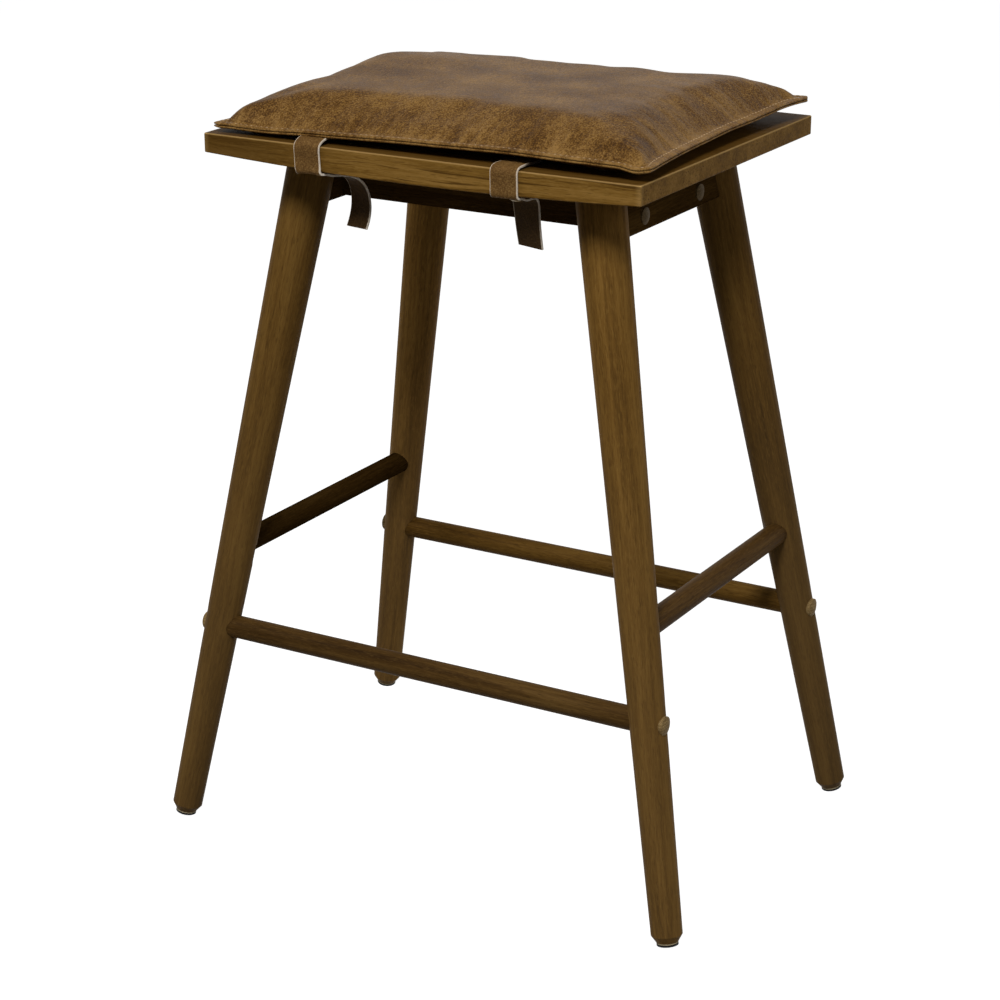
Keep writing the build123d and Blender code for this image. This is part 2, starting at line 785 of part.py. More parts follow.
# Straps: each runs from under the cushion over the board's edge to a stud, and its tail hangs free
edge_y = board_depth / 2
strap_half = strap_thickness / 2
face_y = edge_y + strap_clearance + strap_half
edge_bend = board_edge_radius + strap_clearance + strap_half
lift_angle = radians(strap_lift_angle)
bend_level = seat_height - board_edge_radius + edge_bend * (1 - sin(lift_angle)) / cos(lift_angle)
lift_level = bend_level + strap_lift_run * tan(lift_angle)
tail_start = stud_y - cap_diameter / 2 - strap_clearance


def strap_root(x):
    """Where the strap's end meets the sloping side of the cushion's bottom panel."""
    flat_edge = seam_depth(abs(x) + strap_width / 2) - seam_lip_width - cushion_belly_run
    slope_rise = cushion_seam_rise - cushion_rest_gap
    return flat_edge + cushion_belly_run * (lift_level + strap_half - seat_height) / slope_rise


def stud_level(x):
    """Height of a stud's base under the board's arch, at a place along the seat."""
    return underside(abs(x) - strap_width / 2) - glue_gap - stud_base_thickness


def strap_level(x):
    """Height of a strap's centre line where it passes below its socket."""
    return stud_level(x) - socket_thickness - fit_gap - strap_half


def edge_route(x):
    """A strap's way from the bottom panel, down over the board's edge and under it to the stud.

    The points are distances outwards along Y and heights, followed by the radii of their bends.
    """
    under_level = underside(abs(x) - strap_width / 2) - strap_clearance - strap_half
    points = [
        (strap_root(x), lift_level),
        (face_y - strap_lift_run, lift_level),
        (face_y, bend_level),
        (face_y, under_level),
        (stud_y + socket_diameter / 2, strap_level(x)),
    ]
    return points, [strap_lift_bend_radius, edge_bend, edge_bend, tail_bend_radius]


def straight_route(x):
    """Centre line and bends of a strap whose tail hangs straight."""
    tail_sway_share = 0.35
    level = strap_level(x)
    tail_y = tail_start - tail_bend_run
    points, radii = edge_route(x)
    points += [
        (tail_y, level),
        (tail_y - tail_drift * tail_sway_share, level - tail_drop / 2),
        (tail_y - tail_drift, level - tail_drop),
    ]
    return points, radii + [tail_bend_radius, tail_drop]


def curled_route(x):
    """Centre line and bends of a strap whose tail curls forward."""
    curl_shares = [(0.6, 0.22), (1, 0.6)]
    level = strap_level(x)
    tail_y = tail_start - tail_bend_run / 2
    points, radii = edge_route(x)
    points += [(tail_y, level)]
    points += [(tail_y - curl_run * run, level - curl_drop * drop) for run, drop in curl_shares]
    points += [(tail_y - curl_run + curl_return, level - curl_drop)]
    return points, radii + [curl_run / 2] * len(curl_shares) + [curl_run / 2]


def strap(x, end, route):
    """A leather strap of even width along a route, with a hole for its stud."""
    points, radii = route(x)
    start_plane = Plane(origin=(x, end * points[0][0], points[0][1]), x_dir=(1, 0, 0), z_dir=(0, end, 0))
    with BuildPart() as band:
        with BuildLine(Plane.YZ.offset(x)) as centre:
            FilletPolyline(*[(end * y, z) for y, z in points], radius=radii)
        with BuildSketch(start_plane):
            Rectangle(strap_width, strap_thickness)
        sweep(path=centre.line)
        with BuildSketch(Plane.XY.offset(strap_level(x) - strap_thickness)):
            with Locations((x, end * stud_y)):
                Circle(strap_hole_diameter / 2)
        extrude(amount=2 * strap_thickness, mode=Mode.SUBTRACT)
    return band


routes = {
    ("front", "left"): curled_route,
    ("front", "right"): straight_route,
    ("back", "left"): straight_route,
    ("back", "right"): straight_route,
}
for (end_name, side_name), route in routes.items():
    band = strap(strap_places[side_name], ends[end_name], route)
    save(band, f"strap_{end_name}_{side_name}")


# Press studs: the stud in the board, the socket that clips on it, and the cap below the strap
def stud_plane(x, y, level):
    """Upright plane through a press stud: local X is its radius, local Y is up."""
    return Plane(origin=(x, y, level), x_dir=(1, 0, 0), z_dir=(0, -1, 0))


with BuildPart() as press_stud_posts:
    for x, y in stud_places:
        base = stud_level(x)
        post = socket_thickness - fit_gap
        with BuildSketch(stud_plane(x, y, base)):
            with BuildLine():
                Polyline(
                    (0, -post),
                    (stud_post_diameter / 2, -post),
                    (stud_post_diameter / 2, 0),
                    (stud_base_diameter / 2, 0),
                    (stud_base_diameter / 2, stud_base_thickness),
                    (stud_screw_diameter / 2, stud_base_thickness),
                    (stud_screw_diameter / 2, stud_screw_length - stud_screw_diameter),
                    (0, stud_screw_length),
                    close=True,
                )
            make_face()
        revolve(axis=Axis((x, y, base), (0, 0, 1)))
save(press_stud_posts, "press_stud_posts")

with BuildPart() as press_stud_sockets:
    for x, y in stud_places:
        with BuildSketch(Plane.XY.offset(stud_level(x))):
            with Locations((x, y)):
                Circle(socket_diameter / 2)
                Circle(socket_bore / 2, mode=Mode.SUBTRACT)
        extrude(amount=-socket_thickness)
save(press_stud_sockets, "press_stud_sockets")

with BuildPart() as press_stud_caps:
    for x, y in stud_places:
        cap_top = strap_level(x) - strap_half - fit_gap
        rivet_top = stud_level(x) - socket_thickness - cap_top
        ball = ((cap_diameter / 2) ** 2 + cap_thickness**2) / (2 * cap_thickness)
        half_rise = sqrt(ball**2 - (cap_diameter / 4) ** 2) - (ball - cap_thickness)
        with BuildSketch(stud_plane(x, y, cap_top)):
            with BuildLine():
                ThreePointArc((0, -cap_thickness), (cap_diameter / 4, -half_rise), (cap_diameter / 2, 0))
                Polyline(
                    (cap_diameter / 2, 0),
                    (cap_rivet_diameter / 2, 0),
                    (cap_rivet_diameter / 2, rivet_top),
                    (0, rivet_top),
                    (0, -cap_thickness),
                )
            make_face()
        revolve(axis=Axis((x, y, cap_top), (0, 0, 1)))
save(press_stud_caps, "press_stud_caps")
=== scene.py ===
import logging
import math
from abc import ABC, abstractmethod
from collections.abc import Iterable
from dataclasses import dataclass, field
from enum import Enum
from typing import Any, Union

import bmesh
import bpy
from mathutils import Matrix, Vector, noise


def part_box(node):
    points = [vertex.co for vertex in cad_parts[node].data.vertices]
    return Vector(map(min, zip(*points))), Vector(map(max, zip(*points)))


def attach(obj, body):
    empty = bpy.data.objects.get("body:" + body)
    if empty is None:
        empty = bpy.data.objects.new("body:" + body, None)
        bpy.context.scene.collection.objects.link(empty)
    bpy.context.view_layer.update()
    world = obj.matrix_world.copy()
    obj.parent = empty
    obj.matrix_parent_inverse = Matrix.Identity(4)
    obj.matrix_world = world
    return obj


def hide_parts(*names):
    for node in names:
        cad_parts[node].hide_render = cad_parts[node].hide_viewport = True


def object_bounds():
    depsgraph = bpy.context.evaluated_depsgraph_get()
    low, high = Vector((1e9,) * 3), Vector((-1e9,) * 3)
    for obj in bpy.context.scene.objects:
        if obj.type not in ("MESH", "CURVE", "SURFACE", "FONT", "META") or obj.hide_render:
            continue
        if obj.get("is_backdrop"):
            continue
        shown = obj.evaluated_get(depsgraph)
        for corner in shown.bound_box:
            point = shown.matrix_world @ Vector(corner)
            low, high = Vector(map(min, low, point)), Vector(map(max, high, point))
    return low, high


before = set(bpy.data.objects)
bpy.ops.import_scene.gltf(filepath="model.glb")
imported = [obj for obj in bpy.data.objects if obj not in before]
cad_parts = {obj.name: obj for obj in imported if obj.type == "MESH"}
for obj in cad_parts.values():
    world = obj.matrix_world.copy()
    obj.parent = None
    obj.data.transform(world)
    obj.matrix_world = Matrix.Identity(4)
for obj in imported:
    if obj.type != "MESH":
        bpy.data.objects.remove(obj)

# A wooden counter stool with a strapped leather cushion. X runs along the seat's long
# side, the front edge faces -Y, +Z is up. Lengths are in metres, but for those that place
# the straps, which are in millimetres.

LOG = logging.getLogger("counter_stool")
BODY = "root"
MM = 0.001
BOARD_TOP = 0.620

Colour = tuple[float, float, float, float]
Triple = tuple[float, float, float]
Value = Union[float, Triple, Colour, "Signal"]


def paint(red: float, green: float, blue: float) -> Colour:
    """An opaque colour from its linear shares of red, green and blue."""
    return (red, green, blue, 1.0)


def tones(*shares: Triple) -> tuple[Colour, ...]:
    """Opaque colours, such as a finish's dark, middle and light one."""
    return tuple(paint(*share) for share in shares)


WHITE = paint(1, 1, 1)
USUAL_STAIN = tones((0.034, 0.0150, 0.0026), (0.098, 0.0480, 0.0090), (0.168, 0.0900, 0.0200))
# The next three are darker copies of the usual stain: painted shade for rails, aprons and
# stretchers.
HALF_SHADE_STAIN = tones((0.024, 0.0110, 0.0028), (0.066, 0.0330, 0.0085), (0.125, 0.0680, 0.0190))
PAINTED_SHADE_STAIN = tones((0.020, 0.0088, 0.0020), (0.054, 0.0270, 0.0066), (0.105, 0.0560, 0.0150))
DEEP_SHADE_STAIN = tones((0.013, 0.0056, 0.0012), (0.034, 0.0165, 0.0036), (0.068, 0.0360, 0.0090))
BOARD_STAIN = tones((0.052, 0.0230, 0.0036), (0.168, 0.0860, 0.0160), (0.270, 0.1500, 0.0380))
COGNAC = tones((0.040, 0.0160, 0.0026), (0.121, 0.0570, 0.0120), (0.250, 0.1380, 0.0400))
STRAP_TAN = tones((0.082, 0.0400, 0.0110), (0.138, 0.0710, 0.0200), (0.225, 0.1280, 0.0440))


def limit(value: float, low: float = 0.0, high: float = 1.0) -> float:
    """The value, held between two others."""
    return min(high, max(low, value))


def way(value: float, start: float, end: float) -> float:
    """Share, from 0 to 1, of the way from start to end."""
    return limit((value - start) / (end - start))


def ease(value: float, start: float, end: float) -> float:
    """The same share, smoothed at both ends."""
    share = way(value, start, end)
    return share * share * (3 - 2 * share)


def ripple(*place: float) -> float:
    """Smooth noise at a place, about 0 on average."""
    return noise.noise(Vector(place))


class Signal:
    """A number, colour or vector inside a finish, used in ordinary arithmetic."""

    def __init__(self, recipe: "Recipe", socket: bpy.types.NodeSocket) -> None:
        """Remember where the value comes from.

        Args:
            recipe: The finish that the value belongs to.
            socket: The output that gives the value.
        """
        self.recipe = recipe
        self.socket = socket

    def _math(self, operation: str, first: Value, second: Value = 0.0) -> "Signal":
        """Work out one step of number arithmetic."""
        return self.recipe.node("ShaderNodeMath", {"operation": operation}, {0: first, 1: second})

    def __add__(self, other: Value) -> "Signal":
        """Sum of two numbers."""
        return self._math("ADD", self, other)

    __radd__ = __add__

    def __mul__(self, other: Value) -> "Signal":
        """Product of two numbers."""
        return self._math("MULTIPLY", self, other)

    __rmul__ = __mul__

    def __sub__(self, other: Value) -> "Signal":
        """Difference of two numbers."""
        return self._math("SUBTRACT", self, other)

    def __rsub__(self, other: Value) -> "Signal":
        """Difference of two numbers, the other way round."""
        return self._math("SUBTRACT", other, self)

    def __abs__(self) -> "Signal":
        """A number without its sign."""
        return self._math("ABSOLUTE", self)

    def wave(self) -> "Signal":
        """A sine of the number, from 0 to 1."""
        return self._math("SINE", self) * 0.5 + 0.5

    def span(self, low: float, high: float, start: float = 0.0, end: float = 1.0) -> "Signal":
        """Ease the number from one range into another.

        Args:
            low: Number that gives start.
            high: Number that gives end.
            start: Result at and below low.
            end: Result at and above high.

        Returns:
            The eased number.
        """
        inputs = {"Value": self, "From Min": low, "From Max": high, "To Min": start, "To Max": end}
        return self.recipe.node("ShaderNodeMapRange", {"interpolation_type": "SMOOTHSTEP"}, inputs)

    def ramp(self, *stops: tuple[float, Colour]) -> "Signal":
        """Turn the number into a colour by its place among the stops."""
        return self.recipe.node("ShaderNodeValToRGB", {"stops": stops}, {"Fac": self})

    def stretch(self, across: float, second: float, along: float) -> "Signal":
        """Scale a place's three parts."""
        inputs = {0: self, 1: (across, second, along)}
        return self.recipe.node("ShaderNodeVectorMath", {"operation": "MULTIPLY"}, inputs)

    def shift(self, other: Value) -> "Signal":
        """Add another place or vector to a place."""
        return self.recipe.node("ShaderNodeVectorMath", {"operation": "ADD"}, {0: self, 1: other})

    def grain(self, scale: float, detail: float = 2.0, roughness: float = 0.5) -> "Signal":
        """Cloudy pattern at this place, from 0 to 1.

        Args:
            scale: Clouds for each metre.
            detail: Finer clouds on top of it.
            roughness: Share of the finer clouds.

        Returns:
            The pattern's strength.
        """
        inputs = {"Vector": self, "Scale": scale, "Detail": detail, "Roughness": roughness}
        return self.recipe.node("ShaderNodeTexNoise", {"noise_dimensions": "3D"}, inputs)

    def drawn(
        self, length: float, scale: float, detail: float = 2.0, roughness: float = 0.5
    ) -> "Signal":
        """Cloudy pattern whose clouds are drawn out along Z.

        Args:
            length: How fast the pattern changes along Z, beside across it.
            scale: Clouds for each metre across.
            detail: Finer clouds on top of it.
            roughness: Share of the finer clouds.

        Returns:
            The pattern's strength.
        """
        return self.stretch(1, 1, length).grain(scale, detail, roughness)

    def drift(self, scale: float, amount: float) -> "Signal":
        """Push the place about with a cloudy pattern."""
        inputs = {"Vector": self, "Scale": scale, "Detail": 1.0}
        cloud = self.recipe.node("ShaderNodeTexNoise", {"noise_dimensions": "3D"}, inputs, "Color")
        centred = cloud.shift((-0.5, -0.5, -0.5)).stretch(amount, amount, amount)
        return self.shift(centred)

    def cells(self, scale: float, feature: str = "F1") -> "Signal":
        """Distance inside a pattern of close cells, such as leather's pebbles."""
        settings = {"voronoi_dimensions": "3D", "feature": feature}
        inputs = {"Vector": self, "Scale": scale}
        return self.recipe.node("ShaderNodeTexVoronoi", settings, inputs, "Distance")

    def part(self, name: str) -> "Signal":
        """One part, X, Y or Z, of a place."""
        return self.recipe.node("ShaderNodeSeparateXYZ", {}, {"Vector": self}, name)


class Recipe:
    """A material, or the world's own look, while it is put together."""

    def __init__(self, name: str, world: bool = False) -> None:
        """Start an empty recipe.

        Args:
            name: Name of the material or world.
            world: Whether it is for a world.
        """
        self.made = (bpy.data.worlds if world else bpy.data.materials).new(name)
        self.made.use_nodes = True
        self.tree = self.made.node_tree
        self.tree.nodes.clear()
        self.ending = "ShaderNodeOutputWorld" if world else "ShaderNodeOutputMaterial"

    def node(
        self,
        kind: str,
        settings: dict[str, Any],
        inputs: dict[Union[str, int], Value],
        output: Union[str, int] = 0,
    ) -> Signal:
        """Add one node.

        Args:
            kind: The node's type.
            settings: Its settings, with a ramp's stops among them.
            inputs: Values or signals for its sockets.
            output: Which of its outputs to give back.

        Returns:
            The node's output.
        """
        made = self.tree.nodes.new(kind)
        for name, value in settings.items():
            if name == "stops":
                self._set_stops(made.color_ramp, value)
            else:
                setattr(made, name, value)
        for name, value in inputs.items():
            self._fill(made.inputs[name], value)
        return Signal(self, made.outputs[output])

    def _fill(self, socket: bpy.types.NodeSocket, value: Value) -> None:
        """Link a signal to a socket, or set the socket to a plain value."""
        if isinstance(value, Signal):
            self.tree.links.new(value.socket, socket)
        else:
            socket.default_value = value

    @staticmethod
    def _set_stops(ramp: bpy.types.ColorRamp, stops: Iterable[tuple[float, Colour]]) -> None:
        """Give a ramp its stops, in order."""
        for index, (place, colour) in enumerate(stops):
            stop = ramp.elements[index] if index < len(ramp.elements) else ramp.elements.new(place)
            stop.position = place
            stop.color = colour

    def place(self) -> Signal:
        """Place on the object, in metres."""
        return self.node("ShaderNodeTexCoord", {}, {}, "Object")

    def turned_place(self, along: Triple, centre: Triple) -> Signal:
        """Place on the object seen from a centre, with its Z along a direction.

        Args:
            along: Direction that becomes Z.
            centre: Point that becomes the origin.

        Returns:
            The turned place.
        """
        turn = Vector((0, 0, 1)).rotation_difference(Vector(along)).to_euler()
        inputs = {"Vector": self.place(), "Location": centre, "Rotation": turn}
        return self.node("ShaderNodeMapping", {"vector_type": "TEXTURE"}, inputs)

    def attribute(self, name: str) -> Signal:
        """A number kept at each point of the piece."""
        return self.node("ShaderNodeAttribute", {"attribute_name": name}, {}, "Fac")

    def mix(self, factor: Value, first: Value, second: Value) -> Signal:
        """Mix two colours.

        Args:
            factor: Share of the second.
            first: Colour at 0.
            second: Colour at 1.

        Returns:
            The mixed colour.
        """
        mixer = self.tree.nodes.new("ShaderNodeMix")
        mixer.data_type = "RGBA"
        sockets = {socket.identifier: socket for socket in mixer.inputs}
        values = {"Factor_Float": factor, "A_Color": first, "B_Color": second}
        for name, value in values.items():
            self._fill(sockets[name], value)
        result = next(socket for socket in mixer.outputs if socket.identifier == "Result_Color")
        return Signal(self, result)

    def relief(self, height: Value, distance: float, strength: float) -> Signal:
        """Bump the surface by a height pattern.

        Args:
            height: The pattern, from 0 to 1.
            distance: Real height of the pattern, in metres.
            strength: Share of it that shows.

        Returns:
            The bumped normal.
        """
        inputs = {"Height": height, "Distance": distance, "Strength": strength}
        return self.node("ShaderNodeBump", {}, inputs)

    def surface(
        self,
        colour: Value,
        roughness: Value,
        normal: Value,
        shine: float = 0.5,
        metal: float = 0.0,
    ) -> bpy.types.Material:
        """Close the material with a surface.

        Args:
            colour: Its colour.
            roughness: Its roughness.
            normal: Its relief.
            shine: How strongly it mirrors, with 0.5 for plain glass.
            metal: 1 for metal.

        Returns:
            The finished material.
        """
        inputs = {"Base Color": colour, "Roughness": roughness, "Normal": normal}
        inputs |= {"Specular IOR Level": shine, "Metallic": metal}
        return self.finish(self.node("ShaderNodeBsdfPrincipled", {}, inputs))

    def finish(self, shader: Signal) -> Union[bpy.types.Material, bpy.types.World]:
        """Close the recipe with its shader.

        Args:
            shader: What it looks like.

        Returns:
            The finished material or world.
        """
        output = self.tree.nodes.new(self.ending)
        self.tree.links.new(shader.socket, output.inputs["Surface"])
        return self.made


@dataclass(frozen=True)
class Finish(ABC):
    """What a piece is made of, and how its surface has been worked and worn."""

    name: str

    def make(self) -> bpy.types.Material:
        """Make the finish's material."""
        recipe = Recipe(self.name)
        return self.mixed(recipe, recipe.place())

    @abstractmethod
    def mixed(self, recipe: Recipe, place: Signal) -> bpy.types.Material:
        """Mix the finish's colour, roughness and relief.

        Args:
            recipe: The material while it is put together.
            place: Place on the piece, in metres.

        Returns:
            The finished material.
        """


@dataclass(frozen=True)
class StainedWalnut(Finish):
    """Satin lacquer over walnut-stained wood whose fibres run along one direction."""

    along: Triple
    heart: Triple
    tones: tuple[Colour, ...] = USUAL_STAIN
    # rubbed is the colour of the lighter arrises: rubbed wear together with a painted highlight.
    rubbed: Colour = paint(0.400, 0.2500, 0.0900)
    lines: float = 0.0
    dark_end: float = 0.0
    end_reach: tuple[float, float] = (-0.17, -0.05)
    shine: float = 0.02
    painted_low_light: float = 0.0
    painted_light_tone: Colour = paint(0.105, 0.0660, 0.0280)
    painted_light_levels: tuple[float, float] = (0.15, 0.50)
    painted_top_shade: float = 0.0
    top_shade_levels: tuple[float, float] = (BOARD_TOP - 0.0009, BOARD_TOP - 0.0002)
    rubbed_box: Triple | None = None
    box_centre: Triple = (0.0, 0.0, 0.600)
    arris: tuple[float, float] = (0.0014, 0.0005)
    upright_arris: tuple[float, float] = (0.006, 0.001)

    def mixed(self, recipe: Recipe, place: Signal) -> bpy.types.Material:
        """Stain the wood by its fibres, pores and wear."""
        sawn = recipe.turned_place(self.along, self.heart)
        lean = sawn.drift(7, 0.010)
        cloud = lean.drawn(0.16, 26)
        band = lean.drawn(0.035, 105, 3, 0.55)
        streak = lean.drawn(0.022, 420)
        fibre = sawn.drawn(0.06, 1400, 2, 0.6)
        pore = sawn.drawn(0.10, 1050, 1).span(0.58, 0.70)
        fleck = sawn.drawn(0.12, 1250, 1).span(0.54, 0.70)
        tone = cloud * 0.36 + band * 0.26 + streak * 0.20 + fibre * 0.18
        dark, middle, light = self.tones
        stain = tone.ramp((0.36, dark), (0.5, middle), (0.64, light))
        stain = recipe.mix(fleck * 0.34, stain, light)
        stain = recipe.mix(pore * 0.42, stain, dark)
        if self.lines:
            ring = lean.drawn(0.014, 620, 1).span(0.57, 0.66)
            cluster = lean.drawn(0.10, 60, 1).span(0.40, 0.60, 0.25, 1.0)
            stain = recipe.mix(ring * cluster * self.lines, stain, dark)
        if self.dark_end:
            near_end = place.part("X").span(*self.end_reach, self.dark_end, 0.0)
            stain = recipe.mix(near_end, stain, dark)
        # Painted light: lighter towards the floor, the upper legs standing in the board's shadow.
        if self.painted_low_light:
            low_light = place.part("Z").span(*self.painted_light_levels, self.painted_low_light, self.painted_low_light * 0.3)
            stain = recipe.mix(low_light, stain, self.painted_light_tone)
        # Painted shade: the board's top face is darker than its sides.
        if self.painted_top_shade:
            top_shade = place.part("Z").span(*self.top_shade_levels, 0.0, self.painted_top_shade)
            stain = recipe.mix(top_shade, stain, dark)
        # Lighter arrises: rubbed wear along with a painted highlight on the rounded edges.
        if self.rubbed_box:
            stain = recipe.mix(self.worn(place) * (fibre * 0.5 + 0.35), stain, self.rubbed)
        relief = recipe.relief(fibre * 0.5 + (1 - pore) * 0.8, 0.00012, 0.35)
        return recipe.surface(stain, fibre * 0.14 + 0.44, relief, self.shine)

    def near(self, place: Signal, part: int, insides: tuple[float, float]) -> Signal:
        """How near a place is to a board's two faces that lie across one direction.

        Args:
            place: Place on the board.
            part: The direction, 0 for X, 1 for Y and 2 for Z.
            insides: How far inside the face it begins, and where it is full.

        Returns:
            0 away from the faces and 1 close to one of them.
        """
        offset = abs(place.part("XYZ"[part]) - self.box_centre[part])
        return offset.span(*(self.rubbed_box[part] - inside for inside in insides))

    def worn(self, place: Signal) -> Signal:
        """Where a board's arrises are lighter, near two of its faces at once: rubbed wear with a
        painted highlight.
        """
        along, across, up = (self.near(place, part, self.arris) for part in range(3))
        end, side = (self.near(place, part, self.upright_arris) for part in range(2))
        return across * up + along * up + end * side * 0.45


@dataclass(frozen=True)
class EndGrainPlug(Finish):
    """Turned plugs of the same wood, with their lighter end grain outwards."""

    name: str = "plug_end_grain"
    dark: Colour = paint(0.150, 0.092, 0.032)
    light: Colour = paint(0.400, 0.275, 0.120)
    ring_width: float = 0.0026

    def mixed(self, recipe: Recipe, place: Signal) -> bpy.types.Material:
        """Draw the growth rings and the open pores."""
        rings = place.drift(60, 0.004).part("Z") * (2 * math.pi / self.ring_width)
        pore = place.grain(1900, 2, 0.6).span(0.42, 0.62)
        tone = rings.wave() * 0.10 + pore * 0.35 + place.grain(160, 2) * 0.45
        colour = tone.ramp((0.3, self.dark), (0.75, self.light))
        return recipe.surface(colour, pore * 0.15 + 0.45, recipe.relief(pore, 0.0001, 0.4), 0.06)


@dataclass(frozen=True)
class PlainStuff(Finish):
    """A plain stuff whose colour runs between two tones in a fine grain."""

    low: tuple[float, Colour]
    high: tuple[float, Colour]
    grain: Triple
    roughness: float
    depth: float
    strength: float
    spread: Triple = (1.0, 1.0, 1.0)

    def colour(self, recipe: Recipe, grain: Signal) -> Signal:
        """The stuff's colour, by its grain."""
        return grain.ramp(self.low, self.high)

    def mixed(self, recipe: Recipe, place: Signal) -> bpy.types.Material:
        """Colour and raise the stuff by its grain."""
        grain = place.stretch(*self.spread).grain(*self.grain)
        relief = recipe.relief(grain, self.depth, self.strength)
        return recipe.surface(self.colour(recipe, grain), self.roughness, relief)


@dataclass(frozen=True)
class RawEdge(PlainStuff):
    """The pale cut edge of a leather strap, with painted shade where it lies under the cushion."""

    shade_under_cushion: Colour = paint(0.05, 0.028, 0.012)

    def colour(self, recipe: Recipe, grain: Signal) -> Signal:
        """The edge's colour, by its grain, with painted shade by how far it lies under the cushion.

        Args:
            recipe: The material while it is put together.
            grain: The edge's fibres.

        Returns:
            The colour.
        """
        # Painted shade: the cut edge is darkened where it runs under the cushion's lip.
        inside = abs(recipe.place().part("Y")).span(0.1440, 0.1500, 0.92, 0.0)
        share = inside * recipe.place().part("Z").span(0.608, 0.614)
        return recipe.mix(share, grain.ramp(self.low, self.high), self.shade_under_cushion)


@dataclass(frozen=True)
class AgedLeather(Finish):
    """Distressed cognac leather with pebbled grain, pulled-up lights and rubbed edges."""

    tones: tuple[Colour, ...] = COGNAC
    cut: Colour = paint(0.660, 0.5500, 0.4200)
    # deep is the colour of the painted shadow under the board.
    deep: Colour = paint(0.012, 0.0060, 0.0022)
    pebbles: float = 950
    gloss: float = 0.40
    shine: float = 0.045
    board_shadow_share: float = 0.0
    folded: bool = False
    hair_run: Triple = (0.55, 0.7, 0.45)

    def folds(self, place: Signal) -> Signal:
        """Small folds that run in from the cushion's front seam and right end, about 0 on average.

        Args:
            place: Place on the cushion.

        Returns:
            Their height.
        """
        loose = place.drift(40, 0.006)
        front = place.part("Y").span(-0.148, -0.100, 1.0, 0.0)
        end = place.part("X").span(0.130, 0.188)
        upward = loose.stretch(1.0, 0.16, 0.16).grain(110) - 0.5
        return front * upward + end * (loose.stretch(0.16, 1.0, 0.16).grain(90) - 0.5)

    def painted_board_shadow(self, place: Signal) -> Signal:
        """Where a strap hangs under the board: the painted shadow of the board on it."""
        below = place.part("Z").span(0.5965, 0.6005, 1.0, 0.0)
        return below * abs(place.part("Y")).span(0.146, 0.158, 1.0, 0.0)

    def mixed(self, recipe: Recipe, place: Signal) -> bpy.types.Material:
        """Mottle, pebble and wrinkle the hide, with its cut border."""
        soft = place.drift(24, 0.012)
        cloud = soft.grain(24)
        mottle = soft.grain(120, 3, 0.60)
        brushed = recipe.turned_place(self.hair_run, (0, 0, 0)).drift(60, 0.010)
        hair = brushed.drawn(0.3, 620, 2, 0.6)
        speck = place.grain(800, 3, 0.68)
        tone = cloud * 0.20 + mottle * 0.12 + hair * 0.18 + speck * 0.50
        tone = tone + recipe.attribute("rubbed") * 0.05
        wrinkle = place.drift(90, 0.006).cells(150, "DISTANCE_TO_EDGE").span(0.0, 0.09)
        height = place.drift(300, 0.0012).cells(self.pebbles) * 0.7 + speck * 0.5 + wrinkle * 0.55
        if self.folded:
            folds = self.folds(place)
            # Painted shade and light: the fold valleys darker, their crests lighter.
            tone = tone + folds * 0.22
            height = height + folds * 15.0
        dark, middle, light = self.tones
        hide = tone.ramp((0.415, dark), (0.5, middle), (0.592, light))
        # Painted shadow: the strap darkens where it hangs under the board.
        if self.board_shadow_share:
            hide = recipe.mix(self.painted_board_shadow(place) * self.board_shadow_share, hide, self.deep)
        border = recipe.attribute("border").span(0.15, 0.65) * (speck * 0.6 + 0.5)
        hide = recipe.mix(border, recipe.mix((1 - wrinkle) * 0.18, hide, dark), self.cut)
        roughness = mottle * 0.22 + speck * 0.08 + (self.gloss - 0.11)
        return recipe.surface(hide, roughness, recipe.relief(height, 0.00048, 0.5), self.shine)


@dataclass(frozen=True)
class PlainMetal(Finish):
    """Plated or solid metal with fine turning marks and a little tarnish."""

    colour: Colour
    tarnish: Colour
    roughness: float = 0.34

    def mixed(self, recipe: Recipe, place: Signal) -> bpy.types.Material:
        """Spot the metal with tarnish and turn its marks."""
        spots = place.grain(260, 3, 0.6).span(0.45, 0.75)
        marks = place.drawn(0.2, 2600, 1)
        colour = recipe.mix(spots * 0.7, self.colour, self.tarnish)
        roughness = marks * 0.1 + spots * 0.18 + self.roughness
        return recipe.surface(colour, roughness, recipe.relief(marks, 0.00003, 0.3), metal=1.0)


@dataclass(frozen=True)
class MouldedPlastic(Finish):
    """Matt plastic of the glides, scuffed where it meets the floor."""

    colour: Colour
    scuff: Colour
    roughness: float = 0.55

    def mixed(self, recipe: Recipe, place: Signal) -> bpy.types.Material:
        """Speck the plastic and scuff its foot."""
        speck = place.grain(1500, 2, 0.6)
        worn = (1 - place.part("Z").span(0.0, 0.0003)) * speck.span(0.35, 0.6)
        colour = recipe.mix(worn * 0.6 + speck * 0.08, self.colour, self.scuff)
        relief = recipe.relief(speck, 0.00005, 0.4)
        return recipe.surface(colour, speck * 0.12 + self.roughness, relief, 0.06)


